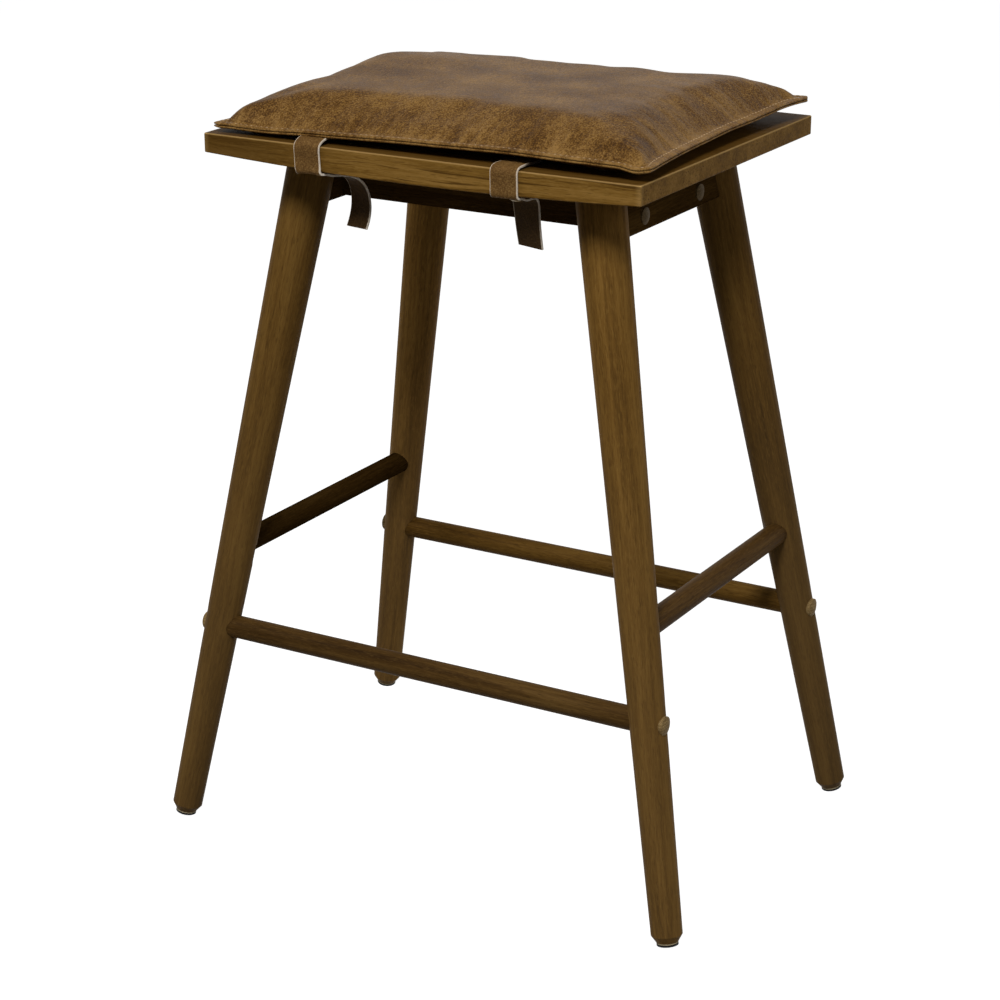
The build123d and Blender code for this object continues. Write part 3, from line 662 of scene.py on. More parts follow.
BEECH = PlainStuff(
    name="bare_beech",
    low=(0.35, paint(0.42, 0.28, 0.15)),
    high=(0.7, paint(0.66, 0.50, 0.31)),
    grain=(900, 2, 0.6),
    roughness=0.62,
    depth=0.0001,
    strength=0.3,
    spread=(0.06, 1, 1),
)
WADDING = PlainStuff(
    name="cushion_wadding",
    low=(0.3, paint(0.56, 0.52, 0.44)),
    high=(0.7, paint(0.78, 0.75, 0.67)),
    grain=(260, 4, 0.7),
    roughness=0.95,
    depth=0.0008,
    strength=0.5,
)
WAXED_THREAD = PlainStuff(
    name="waxed_thread",
    low=(0.35, paint(0.30, 0.185, 0.080)),
    high=(0.65, paint(0.56, 0.40, 0.22)),
    grain=(2600, 2, 0.5),
    roughness=0.55,
    depth=0.0001,
    strength=0.5,
)
RAW_EDGE = RawEdge(
    name="raw_leather_edge",
    low=(0.3, paint(0.62, 0.53, 0.42)),
    high=(0.65, paint(0.86, 0.79, 0.68)),
    grain=(1400, 3, 0.6),
    roughness=0.8,
    depth=0.0002,
    strength=0.4,
)


def keep_piece(
    name: str, mesh: bpy.types.Mesh, finishes: Iterable[bpy.types.Material]
) -> bpy.types.Object:
    """Put a finished mesh in the scene as a piece of the stool.

    Args:
        name: The piece's name.
        mesh: Its mesh, with its place in it.
        finishes: Its materials, in order of their index.

    Returns:
        The piece, at the origin.
    """
    mesh.name = name
    for finish in finishes:
        mesh.materials.append(finish)
    for polygon in mesh.polygons:
        polygon.use_smooth = True
    piece = bpy.data.objects.new(name, mesh)
    bpy.context.scene.collection.objects.link(piece)
    return piece


def as_mesh(shape: bmesh.types.BMesh, name: str) -> bpy.types.Mesh:
    """Turn a bmesh into a mesh and free it.

    Args:
        shape: The shape that was modelled.
        name: The mesh's name.

    Returns:
        The mesh.
    """
    mesh = bpy.data.meshes.new(name)
    shape.to_mesh(mesh)
    shape.free()
    return mesh


def soften(shape: bmesh.types.BMesh, verts: list[bmesh.types.BMVert]) -> None:
    """Move points half way towards the middle of their neighbours."""
    bmesh.ops.smooth_vert(
        shape, verts=verts, factor=0.5, use_axis_x=True, use_axis_y=True, use_axis_z=True
    )


def ride_with(piece: bpy.types.Object) -> None:
    """Let a piece go with the stool, and report it."""
    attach(piece, BODY)
    LOG.info("made %s", piece.name)


@dataclass
class Joinery:
    """The wooden frame: its CAD nodes keep their shape and get their finishes."""

    leg_lean: tuple[float, float] = (0.1813, 0.1192)
    front_painted_light: float = 0.38
    back_painted_light: float = 0.50

    def leg_finish(
        self, name: str, side: int, end: int, offset: float, depth: float
    ) -> StainedWalnut:
        """Stain for one leg, whose fibres follow its centre line.

        Args:
            name: The leg's name.
            side: -1 for left, 1 for right.
            end: -1 for front, 1 for back.
            offset: How far the tree's heart lies from the leg, in metres.
            depth: How far the leg's stain is scaled from the usual stain: painted light and shade
                for how lit the leg stands.

        Returns:
            The finish.
        """
        along = (-side * self.leg_lean[0], -end * self.leg_lean[1], 1.0)
        heart = (side * 0.2 + offset, end * 0.14 - 0.6 * offset, 0.0)
        stain = tones(*([part * depth for part in tone[:3]] for tone in USUAL_STAIN))
        painted_low_light = self.front_painted_light if end < 0 else self.back_painted_light
        return StainedWalnut(f"{name}_wood", along, heart, stain, painted_low_light=painted_low_light)

    def finishes(self) -> dict[str, StainedWalnut]:
        """Stain of each wooden node, so that no two pieces are sawn from the same place."""
        length, depth = (1.0, 0.0, 0.0), (0.0, 1.0, 0.0)
        # Painted light and shade: each leg's stain is scaled by how much light falls on it.
        legs = {
            "leg_front_left": (-1, -1, 0.031, 1.18),
            "leg_front_right": (1, -1, -0.046, 1.56),
            "leg_back_left": (-1, 1, 0.058, 2.20),
            "leg_back_right": (1, 1, -0.037, 1.15),
        }
        found = {name: self.leg_finish(name, *traits) for name, traits in legs.items()}
        # Painted shade: aprons, rails and stretchers take darker copies of the stain where they
        # stand in shade.
        rails = {
            "side_apron_left": (depth, (-0.1, 0.3, 0.64), PAINTED_SHADE_STAIN, 0.0),
            "side_apron_right": (depth, (0.2, 0.7, 0.51), PAINTED_SHADE_STAIN, 0.0),
            "side_stretcher_left": (depth, (-0.22, 0.2, 0.29), DEEP_SHADE_STAIN, 0.0),
            "side_stretcher_right": (depth, (0.16, 0.9, 0.22), HALF_SHADE_STAIN, 0.02),
            "seat_rail_front": (length, (0.2, -0.09, 0.6), PAINTED_SHADE_STAIN, 0.0),
            "seat_rail_back": (length, (0.8, 0.1, 0.55), PAINTED_SHADE_STAIN, 0.0),
            "foot_rail_front": (length, (0.1, -0.18, 0.15), HALF_SHADE_STAIN, 0.02),
            "foot_rail_back": (length, (0.5, 0.12, 0.21), USUAL_STAIN, 0.02),
        }
        for name, (along, heart, stain, shine) in rails.items():
            found[name] = StainedWalnut(f"{name}_wood", along, heart, stain, shine=shine)
        found["seat_board"] = StainedWalnut(
            "seat_board_wood",
            along=length,
            heart=(0.0, 0.05, 0.52),
            tones=BOARD_STAIN,
            lines=0.75,
            dark_end=0.60,
            painted_top_shade=0.75,
            rubbed_box=(0.200, 0.1575, 0.0200),
        )
        return found

    def dress(self) -> None:
        """Give every wooden node its stain."""
        # Painted shade: a darker copy of the plug finish for the plugs on the aprons under the
        # board.
        apron_plug_in_shade = EndGrainPlug(
            "apron_plug_painted_shade", paint(0.068, 0.042, 0.015), paint(0.180, 0.122, 0.054)
        )
        finishes = self.finishes() | {
            "foot_rail_plugs": EndGrainPlug(),
            "seat_rail_plugs": apron_plug_in_shade,
            "seat_rail_dowels": BEECH,
        }
        for node, finish in finishes.items():
            dress_node(node, finish.make())


def dress_node(node: str, finish: bpy.types.Material) -> None:
    """Put a finish on a CAD node whose shape stays.

    Args:
        node: The node's name.
        finish: Its material.
    """
    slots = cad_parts[node].data.materials
    if len(slots) == 0:
        slots.append(finish)
    for index in range(len(slots)):
        slots[index] = finish
    LOG.info("finished %s", node)


@dataclass
class Hardware:
    """Bolts, inserts, screws, press studs and glides."""

    def dress(self) -> None:
        """Give the metal and plastic nodes their finishes."""
        zinc = PlainMetal("zinc_plated_steel", paint(0.56, 0.57, 0.58), paint(0.34, 0.34, 0.33))
        brass = PlainMetal("plain_brass", paint(0.60, 0.44, 0.17), paint(0.30, 0.20, 0.08), 0.30)
        antique = PlainMetal(
            "antique_brass", paint(0.36, 0.25, 0.11), paint(0.10, 0.065, 0.03), 0.38
        )
        pale = MouldedPlastic(
            "glide_pale_plastic", paint(0.38, 0.31, 0.19), paint(0.28, 0.23, 0.15)
        )
        black = MouldedPlastic(
            "glide_black_plastic", paint(0.010, 0.010, 0.010), paint(0.05, 0.05, 0.05), 0.5
        )
        worn_by = {
            zinc: ("seat_rail_bolts", "foot_rail_bolts", "seat_screws", "glide_nails"),
            brass: ("seat_rail_inserts", "foot_rail_inserts"),
            antique: ("press_stud_posts", "press_stud_sockets", "press_stud_caps"),
            pale: ("glide_washers",),
            black: ("glide_domes",),
        }
        for finish, nodes in worn_by.items():
            material = finish.make()
            for node in nodes:
                dress_node(node, material)


class Face(Enum):
    """The two leather panels of the cushion."""

    TOP = 1
    BOTTOM = -1


@dataclass
class Cushion:
    """A slack leather cushion: two panels sewn along a lip round a soft filling."""

    across: int = 96
    deep: int = 76
    side_draw: float = 0.0060
    front_draw: float = 0.0015
    lip_width: float = 0.0075
    narrow_lip_share: float = 0.6
    narrow_from: float = 0.86
    leaf: float = 0.0025
    leaf_root: float = 0.0022
    leaf_section: tuple[Triple, ...] = (
        *((0, 0.0010, 0.92), (0, 0.0024, 0.98), (0, 0.0042, 0.96), (1, -0.0020, 0.88)),
        *((1, -0.0008, 0.72), (1, -0.0001, 0.50), (1, -0.0001, 0.32), (1, -0.0006, 0.14)),
        *((1, -0.0014, 0.07), (1, -0.0034, 0.05)),
    )
    hide: float = 0.0013
    start_crown: float = 0.0210
    start_belly: float = 0.0100
    crown_flatness: tuple[int, int] = (12, 8)
    crown_fall: float = 0.5
    crown_blend: float = 2.2
    belly_flatness: tuple[int, int] = (14, 11)
    belly_fall: float = 0.6
    cap: float = 0.0060
    stitch_pitch: float = 0.0050
    stitch_length: float = 0.0030
    stitch_size: tuple[float, float] = (0.00062, 0.00056)
    stitch_out: float = 0.0014
    stitch_level: float = 0.0021
    seam_inset: float = 0.0004
    loop_points: int = 720
    filling_gap: float = 0.0024
    rim_gap: float = 0.0030
    rim_gap_levels: tuple[float, float] = (0.94, 1.0)
    rubbed_levels: tuple[float, float] = (0.90, 1.04)
    rest_gap: float = 0.0004
    roundings: int = 6
    last_frame: int = 20
    held_rim: float = 0.9995
    loose_rim: float = 0.999
    belly_from: float = 0.0008
    share_end: float = 1.05
    corner_from: float = 0.93
    corner_turn: float = 0.5
    pointed: float = 0.22
    blunt: float = -0.30
    pull_fall: tuple[float, float] = (1.5, 1.4)
    corners: dict[tuple[int, int], Triple] = field(
        default_factory=lambda: {
            (-1, -1): (-0.0022, -0.0010, -0.0050),
            (1, -1): (0.0100, 0.0000, -0.0012),
            (1, 1): (0.0072, 0.0018, 0.0040),
            (-1, 1): (0.0020, 0.0000, 0.0006),
        }
    )
    front_wave: tuple[tuple[float, float], ...] = (
        *((-1.0, 0.0), (-0.75, -0.0012), (-0.5, 0.0), (0.0, 0.0014), (0.4, 0.0022)),
        *((0.72, 0.0012), (0.88, 0.0010), (0.97, -0.0012), (1.0, 0.0)),
    )
    humps: tuple[tuple[float, float], ...] = ((-0.0955, 0.0030), (0.0835, 0.0009))
    hump_height: float = 0.0024
    hump_sides: tuple[float, float] = (0.0145, 0.0265)
    hump_root: tuple[float, float] = (0.100, 0.110)
    hump_slope: tuple[float, float] = (0.126, 0.144)

    def __post_init__(self) -> None:
        """Take the cushion's reach from the frame."""
        low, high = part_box("cushion_cover_top")
        self.half_length = (high.x - low.x) / 2
        self.half_depth = (high.y - low.y) / 2
        self.seam_level = low.z

    def pull(self, u: float, v: float) -> Vector:
        """How far the four corners' own places draw a point of the panel along with them."""
        moved = Vector()
        for (side, end), amount in self.corners.items():
            share = max(0.0, (1 + side * u) / 2) ** self.pull_fall[0]
            share *= max(0.0, (1 + end * v) / 2) ** self.pull_fall[1]
            moved += Vector(amount) * share
        return moved

    def narrowing(self, share: float) -> float:
        """How the lip gets narrower towards the corners, beside its full width."""
        near = way(abs(share), self.narrow_from, 1.0)
        return 1 - (1 - self.narrow_lip_share) * near

    def lip_share(self, u: float, v: float) -> float:
        """How wide the lip is on the seam, beside its full width: narrow along the front."""
        if abs(u) >= abs(v):
            return self.narrowing(v)
        return self.narrow_lip_share if v < 0 else self.narrowing(u)

    def reach(self, u: float, v: float, inset: float) -> tuple[float, float]:
        """Half the length and half the depth of an outline that lies inside the lip's edge."""
        across = self.narrow_lip_share if v < 0 else self.narrowing(u)
        reach_x = self.half_length - inset * self.narrowing(v) - self.side_draw * (1 - v * v)
        reach_y = self.half_depth - inset * across - self.front_draw * (1 - u * u)
        return reach_x, reach_y

    def outline(self, u: float, v: float, inset: float) -> Vector:
        """Place in plan of a share of the panel, with the sides drawn in between the corners.

        Args:
            u: Share along the length, from -1 to 1.
            v: Share along the depth, from -1 to 1.
            inset: How far the outline lies inside the lip's edge.

        Returns:
            The place, at height 0.
        """
        reach_x, reach_y = self.reach(u, v, inset)
        moved = self.pull(u, v)
        return Vector((u * reach_x + moved.x, v * reach_y + moved.y, 0))

    def lift(self, u: float, v: float) -> float:
        """How far the seam rises or droops towards each corner, and its slight waves."""
        rise = 0.0
        for (start, low), (end, high) in zip(self.front_wave, self.front_wave[1:]):
            if start <= u <= end:
                rise = low + (high - low) * ease(u, start, end)
        front = max(0.0, (1 - v) / 2) ** 3
        edge = max(abs(u), abs(v)) ** 6
        wave = ripple(u * 2.7 + 3.1, v * 2.7 - 1.4, 0.4) * 0.0014
        return self.pull(u, v).z + rise * front + wave * edge * (1 - front)

    @staticmethod
    def domes(
        u: float, v: float, flatness: tuple[int, int], fall: float
    ) -> tuple[float, float]:
        """How high a dome along the length and one along the depth stand at a place."""
        shares = zip((u, v), flatness)
        along, through = (max(0.0, 1 - abs(share) ** flat) ** fall for share, flat in shares)
        return along, through

    def swell(self, u: float, v: float) -> float:
        """Share of the crown's height at a place on the top panel.

        It is fuller at the left end, most of all behind the middle, and lower along the back.
        """
        along, through = self.domes(u, v, self.crown_flatness, self.crown_fall)
        if min(along, through) <= 0.0:
            return 0.0
        left = ease(-u, 0.2, 1.0) * (0.08 + 0.30 * ease(v, -0.5, 0.4))
        left *= 1 - 1.5 * ease(v, 0.22, 0.76)
        back = ease(v, 0.0, 1.0) * (0.05 + 0.09 * ease(u, 0.3, 0.6) - 0.07 * ease(u, 0.75, 1.0))
        power = self.crown_blend
        roof = (along**-power + through**-power - 1) ** (-1 / power)
        return roof * (1 + left - back)

    def belly(self, u: float, v: float) -> float:
        """Share of the belly's depth at a place on the bottom panel."""
        return math.prod(self.domes(u, v, self.belly_flatness, self.belly_fall))

    def panel(self, face: Face) -> bmesh.types.BMesh:
        """One panel up to its stitch line, before it is stuffed."""
        shape = bmesh.new()
        bmesh.ops.create_grid(shape, x_segments=self.across, y_segments=self.deep, size=1.0)
        for vert in shape.verts:
            u, v = vert.co.x, vert.co.y
            place = self.outline(u, v, self.lip_width)
            level = self.seam_level + self.lift(u, v)
            if face is Face.TOP:
                level += self.start_crown * self.swell(u, v)
            else:
                level -= self.start_belly * self.belly(u, v)
            vert.co = Vector((place.x, place.y, level))
        if face is Face.BOTTOM:
            bmesh.ops.reverse_faces(shape, faces=shape.faces)
        return shape

    def shell(self) -> bpy.types.Object:
        """Both panels joined along the stitch line, as one closed form."""
        joined = bmesh.new()
        for face in Face:
            half = as_mesh(self.panel(face), f"panel_{face.name.lower()}")
            joined.from_mesh(half)
            bpy.data.meshes.remove(half)
        bmesh.ops.remove_doubles(joined, verts=joined.verts, dist=0.00002)
        return keep_piece("stuffed_shell", as_mesh(joined, "stuffed_shell"), [])

    def seam_share(self, place: Vector) -> tuple[float, float]:
        """Shares along the length and depth of a place on the cushion."""
        u = v = 0.0
        for _ in range(5):
            moved = self.pull(u, v)
            reach_x, reach_y = self.reach(u, v, self.lip_width)
            u = limit((place.x - moved.x) / reach_x, -self.share_end, self.share_end)
            v = limit((place.y - moved.y) / reach_y, -self.share_end, self.share_end)
        return u, v

    def rim(self, place: Vector) -> float:
        """How near to the seam a place is: 0 in the middle of the cushion and 1 on the seam."""
        return max(abs(share) for share in self.seam_share(place))

    def stuff(self, shell: bpy.types.Object) -> None:
        """Blow the shell up as cloth with its seam held, and take on the shape that it finds.

        Args:
            shell: The closed form, which is changed.
        """
        start = [vert.co.copy() for vert in shell.data.vertices]
        held = [index for index, place in enumerate(start) if self.rim(place) > self.held_rim]
        shell.vertex_groups.new(name="seam").add(held, 1.0, "REPLACE")
        cloth = shell.modifiers.new("stuffing", "CLOTH")
        stuffing = {
            "quality": 6,
            "mass": 0.25,
            "tension_stiffness": 20,
            "compression_stiffness": 20,
            "shear_stiffness": 8,
            "bending_stiffness": 0.35,
            "use_pressure": True,
            "uniform_pressure_force": 4,
            "shrink_min": -0.010,
            "vertex_group_mass": "seam",
            "pin_stiffness": 1,
        }
        for name, value in stuffing.items():
            setattr(cloth.settings, name, value)
        cloth.settings.effector_weights.gravity = 0
        scene = bpy.context.scene
        for number in range(1, self.last_frame + 1):
            scene.frame_set(number)
        graph = bpy.context.evaluated_depsgraph_get()
        found = [vert.co.copy() for vert in shell.evaluated_get(graph).data.vertices]
        shell.modifiers.remove(cloth)
        scene.frame_set(1)
        for vert, was, now in zip(shell.data.vertices, start, found):
            move = now - was
            if move.length > self.cap:
                move *= self.cap / move.length
            vert.co = was + move

    def settle(self, shell: bpy.types.Object) -> None:
        """Round off the ridges, rest the bottom on board and straps, and add creases.

        Args:
            shell: The stuffed form, which is changed.
        """
        soft = bmesh.new()
        soft.from_mesh(shell.data)
        loose = [vert for vert in soft.verts if self.rim(vert.co) < self.loose_rim]
        for _ in range(self.roundings):
            soften(soft, loose)
        soft.to_mesh(shell.data)
        soft.free()
        for vert in shell.data.vertices:
            place = vert.co
            u, v = self.seam_share(place)
            if place.z < self.seam_level + self.lift(u, v) - self.belly_from:
                place.z = max(place.z, self.floor(place))
                continue
            rim = max(abs(u), abs(v))
            place.z += self.crease(u, v) * min(1.0, (1 - min(rim, 1.0)) * 12)

    def floor(self, place: Vector) -> float:
        """Height below which the bottom panel can't sink, at a place in plan.

        Args:
            place: The place.

        Returns:
            The height of the board's top, or of the strap that lies on it.
        """
        height = BOARD_TOP + self.rest_gap
        for centre, rise in self.humps:
            over = 1 - way(abs(place.x - centre), *self.hump_sides)
            past = way(abs(place.y), *self.hump_root)
            slope = way(abs(place.y), *self.hump_slope)
            hump = (self.hump_height + rise * slope) * over * past
            height = max(height, BOARD_TOP + self.rest_gap + hump)
        return height

    def crease(self, u: float, v: float) -> float:
        """Height of the soft creases that run in from the seam."""
        right = max(0.0, u) ** 4
        left = max(0.0, -u) ** 6
        front = max(0.0, -v) ** 5
        slant = ripple(v * 11 + u * 5.0, u * 1.6, 2.2) * right
        far = ripple(v * 9 - u * 4.0, u * 1.2, 5.6) * left
        radial = ripple(u * 13, v * 1.8, 8.1) * front
        broad = ripple(u * 3.1, v * 2.6, 4.7)
        return slant * 0.0016 + far * 0.0010 + radial * 0.0012 + broad * 0.0007

    def sew_leaf(self, half: bmesh.types.BMesh, face: Face) -> None:
        """Grow the lip's leaf outwards from a panel's stitch line.

        Args:
            half: The stuffed panel, which is changed.
            face: Which panel it is.
        """
        base = half.verts.layers.float_vector.new("base")
        away = half.verts.layers.float_vector.new("away")
        edges = [edge for edge in half.edges if edge.is_boundary]
        for vert in {vert for edge in edges for vert in edge.verts}:
            u, v = self.seam_share(vert.co)
            vert[base] = vert.co
            vert[away] = self.outward(u, v) * self.lip_share(u, v)
            vert.co.z += face.value * self.leaf_root
        for widths, step, share in self.leaf_section:
            out, rise = widths * self.lip_width + step, share * self.leaf
            grown = bmesh.ops.extrude_edge_only(half, edges=edges)["geom"]
            edges = [item for item in grown if isinstance(item, bmesh.types.BMEdge)]
            for vert in {item for item in grown if isinstance(item, bmesh.types.BMVert)}:
                vert.co = vert[base] + vert[away] * out + Vector((0, 0, face.value * rise))

    def outward(self, u: float, v: float) -> Vector:
        """Direction in plan square to the seam, longer at the pointed corners."""
        step = 0.02
        if abs(u) >= abs(v):
            side = math.copysign(1.0, u)
            tangent = self.outline(side, min(1.0, v + step), 0)
            tangent -= self.outline(side, max(-1.0, v - step), 0)
            direction = Vector((side * tangent.y, -side * tangent.x, 0))
        else:
            end = math.copysign(1.0, v)
            tangent = self.outline(min(1.0, u + step), end, 0)
            tangent -= self.outline(max(-1.0, u - step), end, 0)
            direction = Vector((-end * tangent.y, end * tangent.x, 0))
        direction.normalize()
        corner = max(0.0, min(abs(u), abs(v)) - self.corner_from) / (1 - self.corner_from)
        diagonal = Vector((math.copysign(1, u), math.copysign(1, v), 0)).normalized()
        blended = direction.lerp(diagonal, self.corner_turn * corner**2).normalized()
        longer = self.blunt if u > 0 > v else self.pointed
        return blended * (1 + longer * corner**3)

    def rub(self, mesh: bpy.types.Mesh) -> None:
        """Mark the leather that hands and knees rub: the lip and the roll behind it."""
        marks = mesh.attributes.new("rubbed", "FLOAT", "POINT")
        for vert, mark in zip(mesh.vertices, marks.data):
            mark.value = way(self.rim(vert.co), *self.rubbed_levels) ** 1.5

    def cover(
        self, shell: bpy.types.Object, face: Face, leather: bpy.types.Material
    ) -> bpy.types.Object:
        """Cut a panel from the stuffed shell, sew on its leaf and thicken the leather.

        Args:
            shell: The stuffed form.
            face: Which panel to make.
            leather: Its finish.

        Returns:
            The panel.
        """
        half = bmesh.new()
        half.from_mesh(shell.data)
        count = self.across * self.deep
        half.faces.ensure_lookup_table()
        drop = half.faces[count:] if face is Face.TOP else half.faces[:count]
        bmesh.ops.delete(half, geom=drop, context="FACES")
        bmesh.ops.subdivide_edges(half, edges=half.edges, cuts=1, use_grid_fill=True, smooth=1.0)
        soften(half, [vert for vert in half.verts if not vert.is_boundary])
        self.sew_leaf(half, face)
        name = f"cushion_panel_{face.name.lower()}"
        mesh = as_mesh(half, name)
        self.rub(mesh)
        piece = keep_piece(name, mesh, [leather])
        wall = piece.modifiers.new("hide", "SOLIDIFY")
        wall.thickness = self.hide
        wall.offset = -1
        return piece

    def filling(self, shell: bpy.types.Object) -> bpy.types.Object:
        """The wadding, which fills the panels from inside."""
        core = bmesh.new()
        core.from_mesh(shell.data)
        if core.calc_volume(signed=True) < 0:
            bmesh.ops.reverse_faces(core, faces=core.faces)
        core.normal_update()
        for vert in core.verts:
            pull = self.rim_gap * way(self.rim(vert.co), *self.rim_gap_levels)
            vert.co -= vert.normal * self.filling_gap
            vert.co.x -= math.copysign(pull, vert.co.x)
            vert.co.y -= math.copysign(pull, vert.co.y)
        name = "cushion_filling_pad"
        return keep_piece(name, as_mesh(core, name), [WADDING.make()])

    def seam_line(self) -> list[Vector]:
        """Places along the stitch line, just inside the lip, as a closed loop."""
        loop = []
        for index in range(self.loop_points):
            turn = 2 * math.pi * index / self.loop_points
            u, v = math.cos(turn), math.sin(turn)
            scale = 1 / max(abs(u), abs(v))
            place = self.outline(u * scale, v * scale, self.lip_width + self.seam_inset)
            place.z = self.seam_level + self.lift(u * scale, v * scale)
            loop.append(place)
        return loop

    def stitches(self) -> bpy.types.Object:
        """The row of topstitches on both leaves of the lip."""
        loop = self.seam_line()
        stretches = list(zip(loop, loop[1:] + loop[:1]))
        lengths = [(end - start).length for start, end in stretches]
        count = round(sum(lengths) / self.stitch_pitch)
        size = Matrix.Diagonal((self.stitch_length / 2, *self.stitch_size, 1))
        row = bmesh.new()
        pattern = bmesh.new()
        bmesh.ops.create_uvsphere(pattern, u_segments=6, v_segments=5, radius=1.0)
        stitch = as_mesh(pattern, "stitch")
        for face in Face:
            raised = Vector((0, 0, face.value * self.stitch_level))
            for number in range(count):
                target = sum(lengths) * number / count
                index = 0
                while target > lengths[index]:
                    target -= lengths[index]
                    index += 1
                start, end = stretches[index]
                along = (end - start).normalized()
                outward = Vector((along.y, -along.x, 0))
                place = start + along * target + outward * self.stitch_out + raised
                turn = along.to_track_quat("X", "Z").to_matrix().to_4x4()
                placed = stitch.copy()
                placed.transform(Matrix.Translation(place) @ turn @ size)
                row.from_mesh(placed)
                bpy.data.meshes.remove(placed)
        bpy.data.meshes.remove(stitch)
        name = "cushion_topstitch"
        return keep_piece(name, as_mesh(row, name), [WAXED_THREAD.make()])

    def build(self) -> None:
        """Make the cushion's pieces and put them in the place of its CAD solids."""
        leather = AgedLeather("cushion_leather", folded=True).make()
        shell = self.shell()
        self.stuff(shell)
        self.settle(shell)
        top = self.cover(shell, Face.TOP, leather)
        bottom = self.cover(shell, Face.BOTTOM, leather)
        filling = self.filling(shell)
        stitches = self.stitches()
        bpy.data.objects.remove(shell)
        stands_for = {
            top: ("cushion_cover_top", "cushion_leather"),
            bottom: ("cushion_cover_bottom", "cushion_leather"),
            filling: ("cushion_filling", "cushion_foam"),
        }
        for piece, (node, slot) in stands_for.items():
            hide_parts(node)
            ride_with(piece)
        ride_with(stitches)


@dataclass(frozen=True)
class Waypoint:
    """A point that a strap's centre line bends towards, in millimetres and degrees.

    It lies out from the board's middle and drifts to the right. The strap is turned about the
    vertical there, and rolled so that its right edge is raised.
    """

    out: float
    level: float
    turn: float = 0.0
    drift: float = 0.0
    roll: float = 0.0

    def place(self, x: float, end: int) -> Vector:
        """The point in metres, for a strap at x, over the front (-1) or back (1) edge."""
        return Vector((x + self.drift, end * self.out, self.level)) * MM


@dataclass
class Strap:
    """A leather strap from under the cushion, over the board's edge, to a stud and a free tail."""

    corner: str
    x: float
    end: int
    route: list[Waypoint]
    width: float = 0.0240
    thickness: float = 0.0018
    rows: int = 120
    columns: int = 22

    def at(self, share: float) -> tuple[Vector, Vector]:
        """Centre and width at a share of the route, on a smooth spline.

        Args:
            share: From 0 at the root to 1 at the tail's end.

        Returns:
            The centre and the direction across the strap.
        """
        last = len(self.route) - 1
        scaled = limit(share) * last
        index = min(int(scaled), last - 1)
        t = scaled - index
        picks = [self.route[min(max(index + step, 0), last)] for step in (-1, 0, 1, 2)]
        weights = (
            (1 - t) ** 3 / 6,
            (3 * t**3 - 6 * t**2 + 4) / 6,
            (-3 * t**3 + 3 * t**2 + 3 * t + 1) / 6,
            t**3 / 6,
        )
        slopes = (
            -((1 - t) ** 2) / 2,
            (3 * t**2 - 4 * t) / 2,
            (-3 * t**2 + 2 * t + 1) / 2,
            t**2 / 2,
        )
        places = [pick.place(self.x, self.end) for pick in picks]
        centre = sum((place * weight for place, weight in zip(places, weights)), Vector())
        travel = sum((place * slope for place, slope in zip(places, slopes)), Vector())
        travel.normalize()
        turn = -self.end * sum(pick.turn * weight for pick, weight in zip(picks, weights))
        turn = math.radians(turn)
        roll = math.radians(sum(pick.roll * weight for pick, weight in zip(picks, weights)))
        level = math.cos(roll)
        wide = Vector((math.cos(turn) * level, math.sin(turn) * level, math.sin(roll)))
        return centre, (wide - travel * wide.dot(travel)).normalized()

    def band(self) -> bmesh.types.BMesh:
        """A flat grid bent along the route."""
        shape = bmesh.new()
        bmesh.ops.create_grid(shape, x_segments=self.columns, y_segments=self.rows, size=1.0)
        for vert in shape.verts:
            across, share = vert.co.x, (vert.co.y + 1) / 2
            centre, wide = self.at(share)
            vert.co = centre + wide * (across * self.width / 2)
        return shape

    def build(self, leather: bpy.types.Material, edge: bpy.types.Material) -> None:
        """Make the strap in the place of its CAD solid.

        Args:
            leather: Finish of the faces.
            edge: Finish of the cut edges.
        """
        name = f"{self.corner}_strap"
        mesh = as_mesh(self.band(), name)
        marks = mesh.attributes.new("border", "FLOAT", "POINT")
        for index, mark in enumerate(marks.data):
            column = index % (self.columns + 1)
            mark.value = 1.0 if column in (0, self.columns) else 0.0
        piece = keep_piece(name, mesh, [leather, edge])
        wall = piece.modifiers.new("thickness", "SOLIDIFY")
        wall.thickness = self.thickness
        wall.offset = 0
        wall.material_offset_rim = 1
        soft = piece.modifiers.new("softened", "BEVEL")
        soft.width = 0.0002
        soft.segments = 2
        soft.limit_method = "ANGLE"
        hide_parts(f"strap_{self.corner}")
        ride_with(piece)


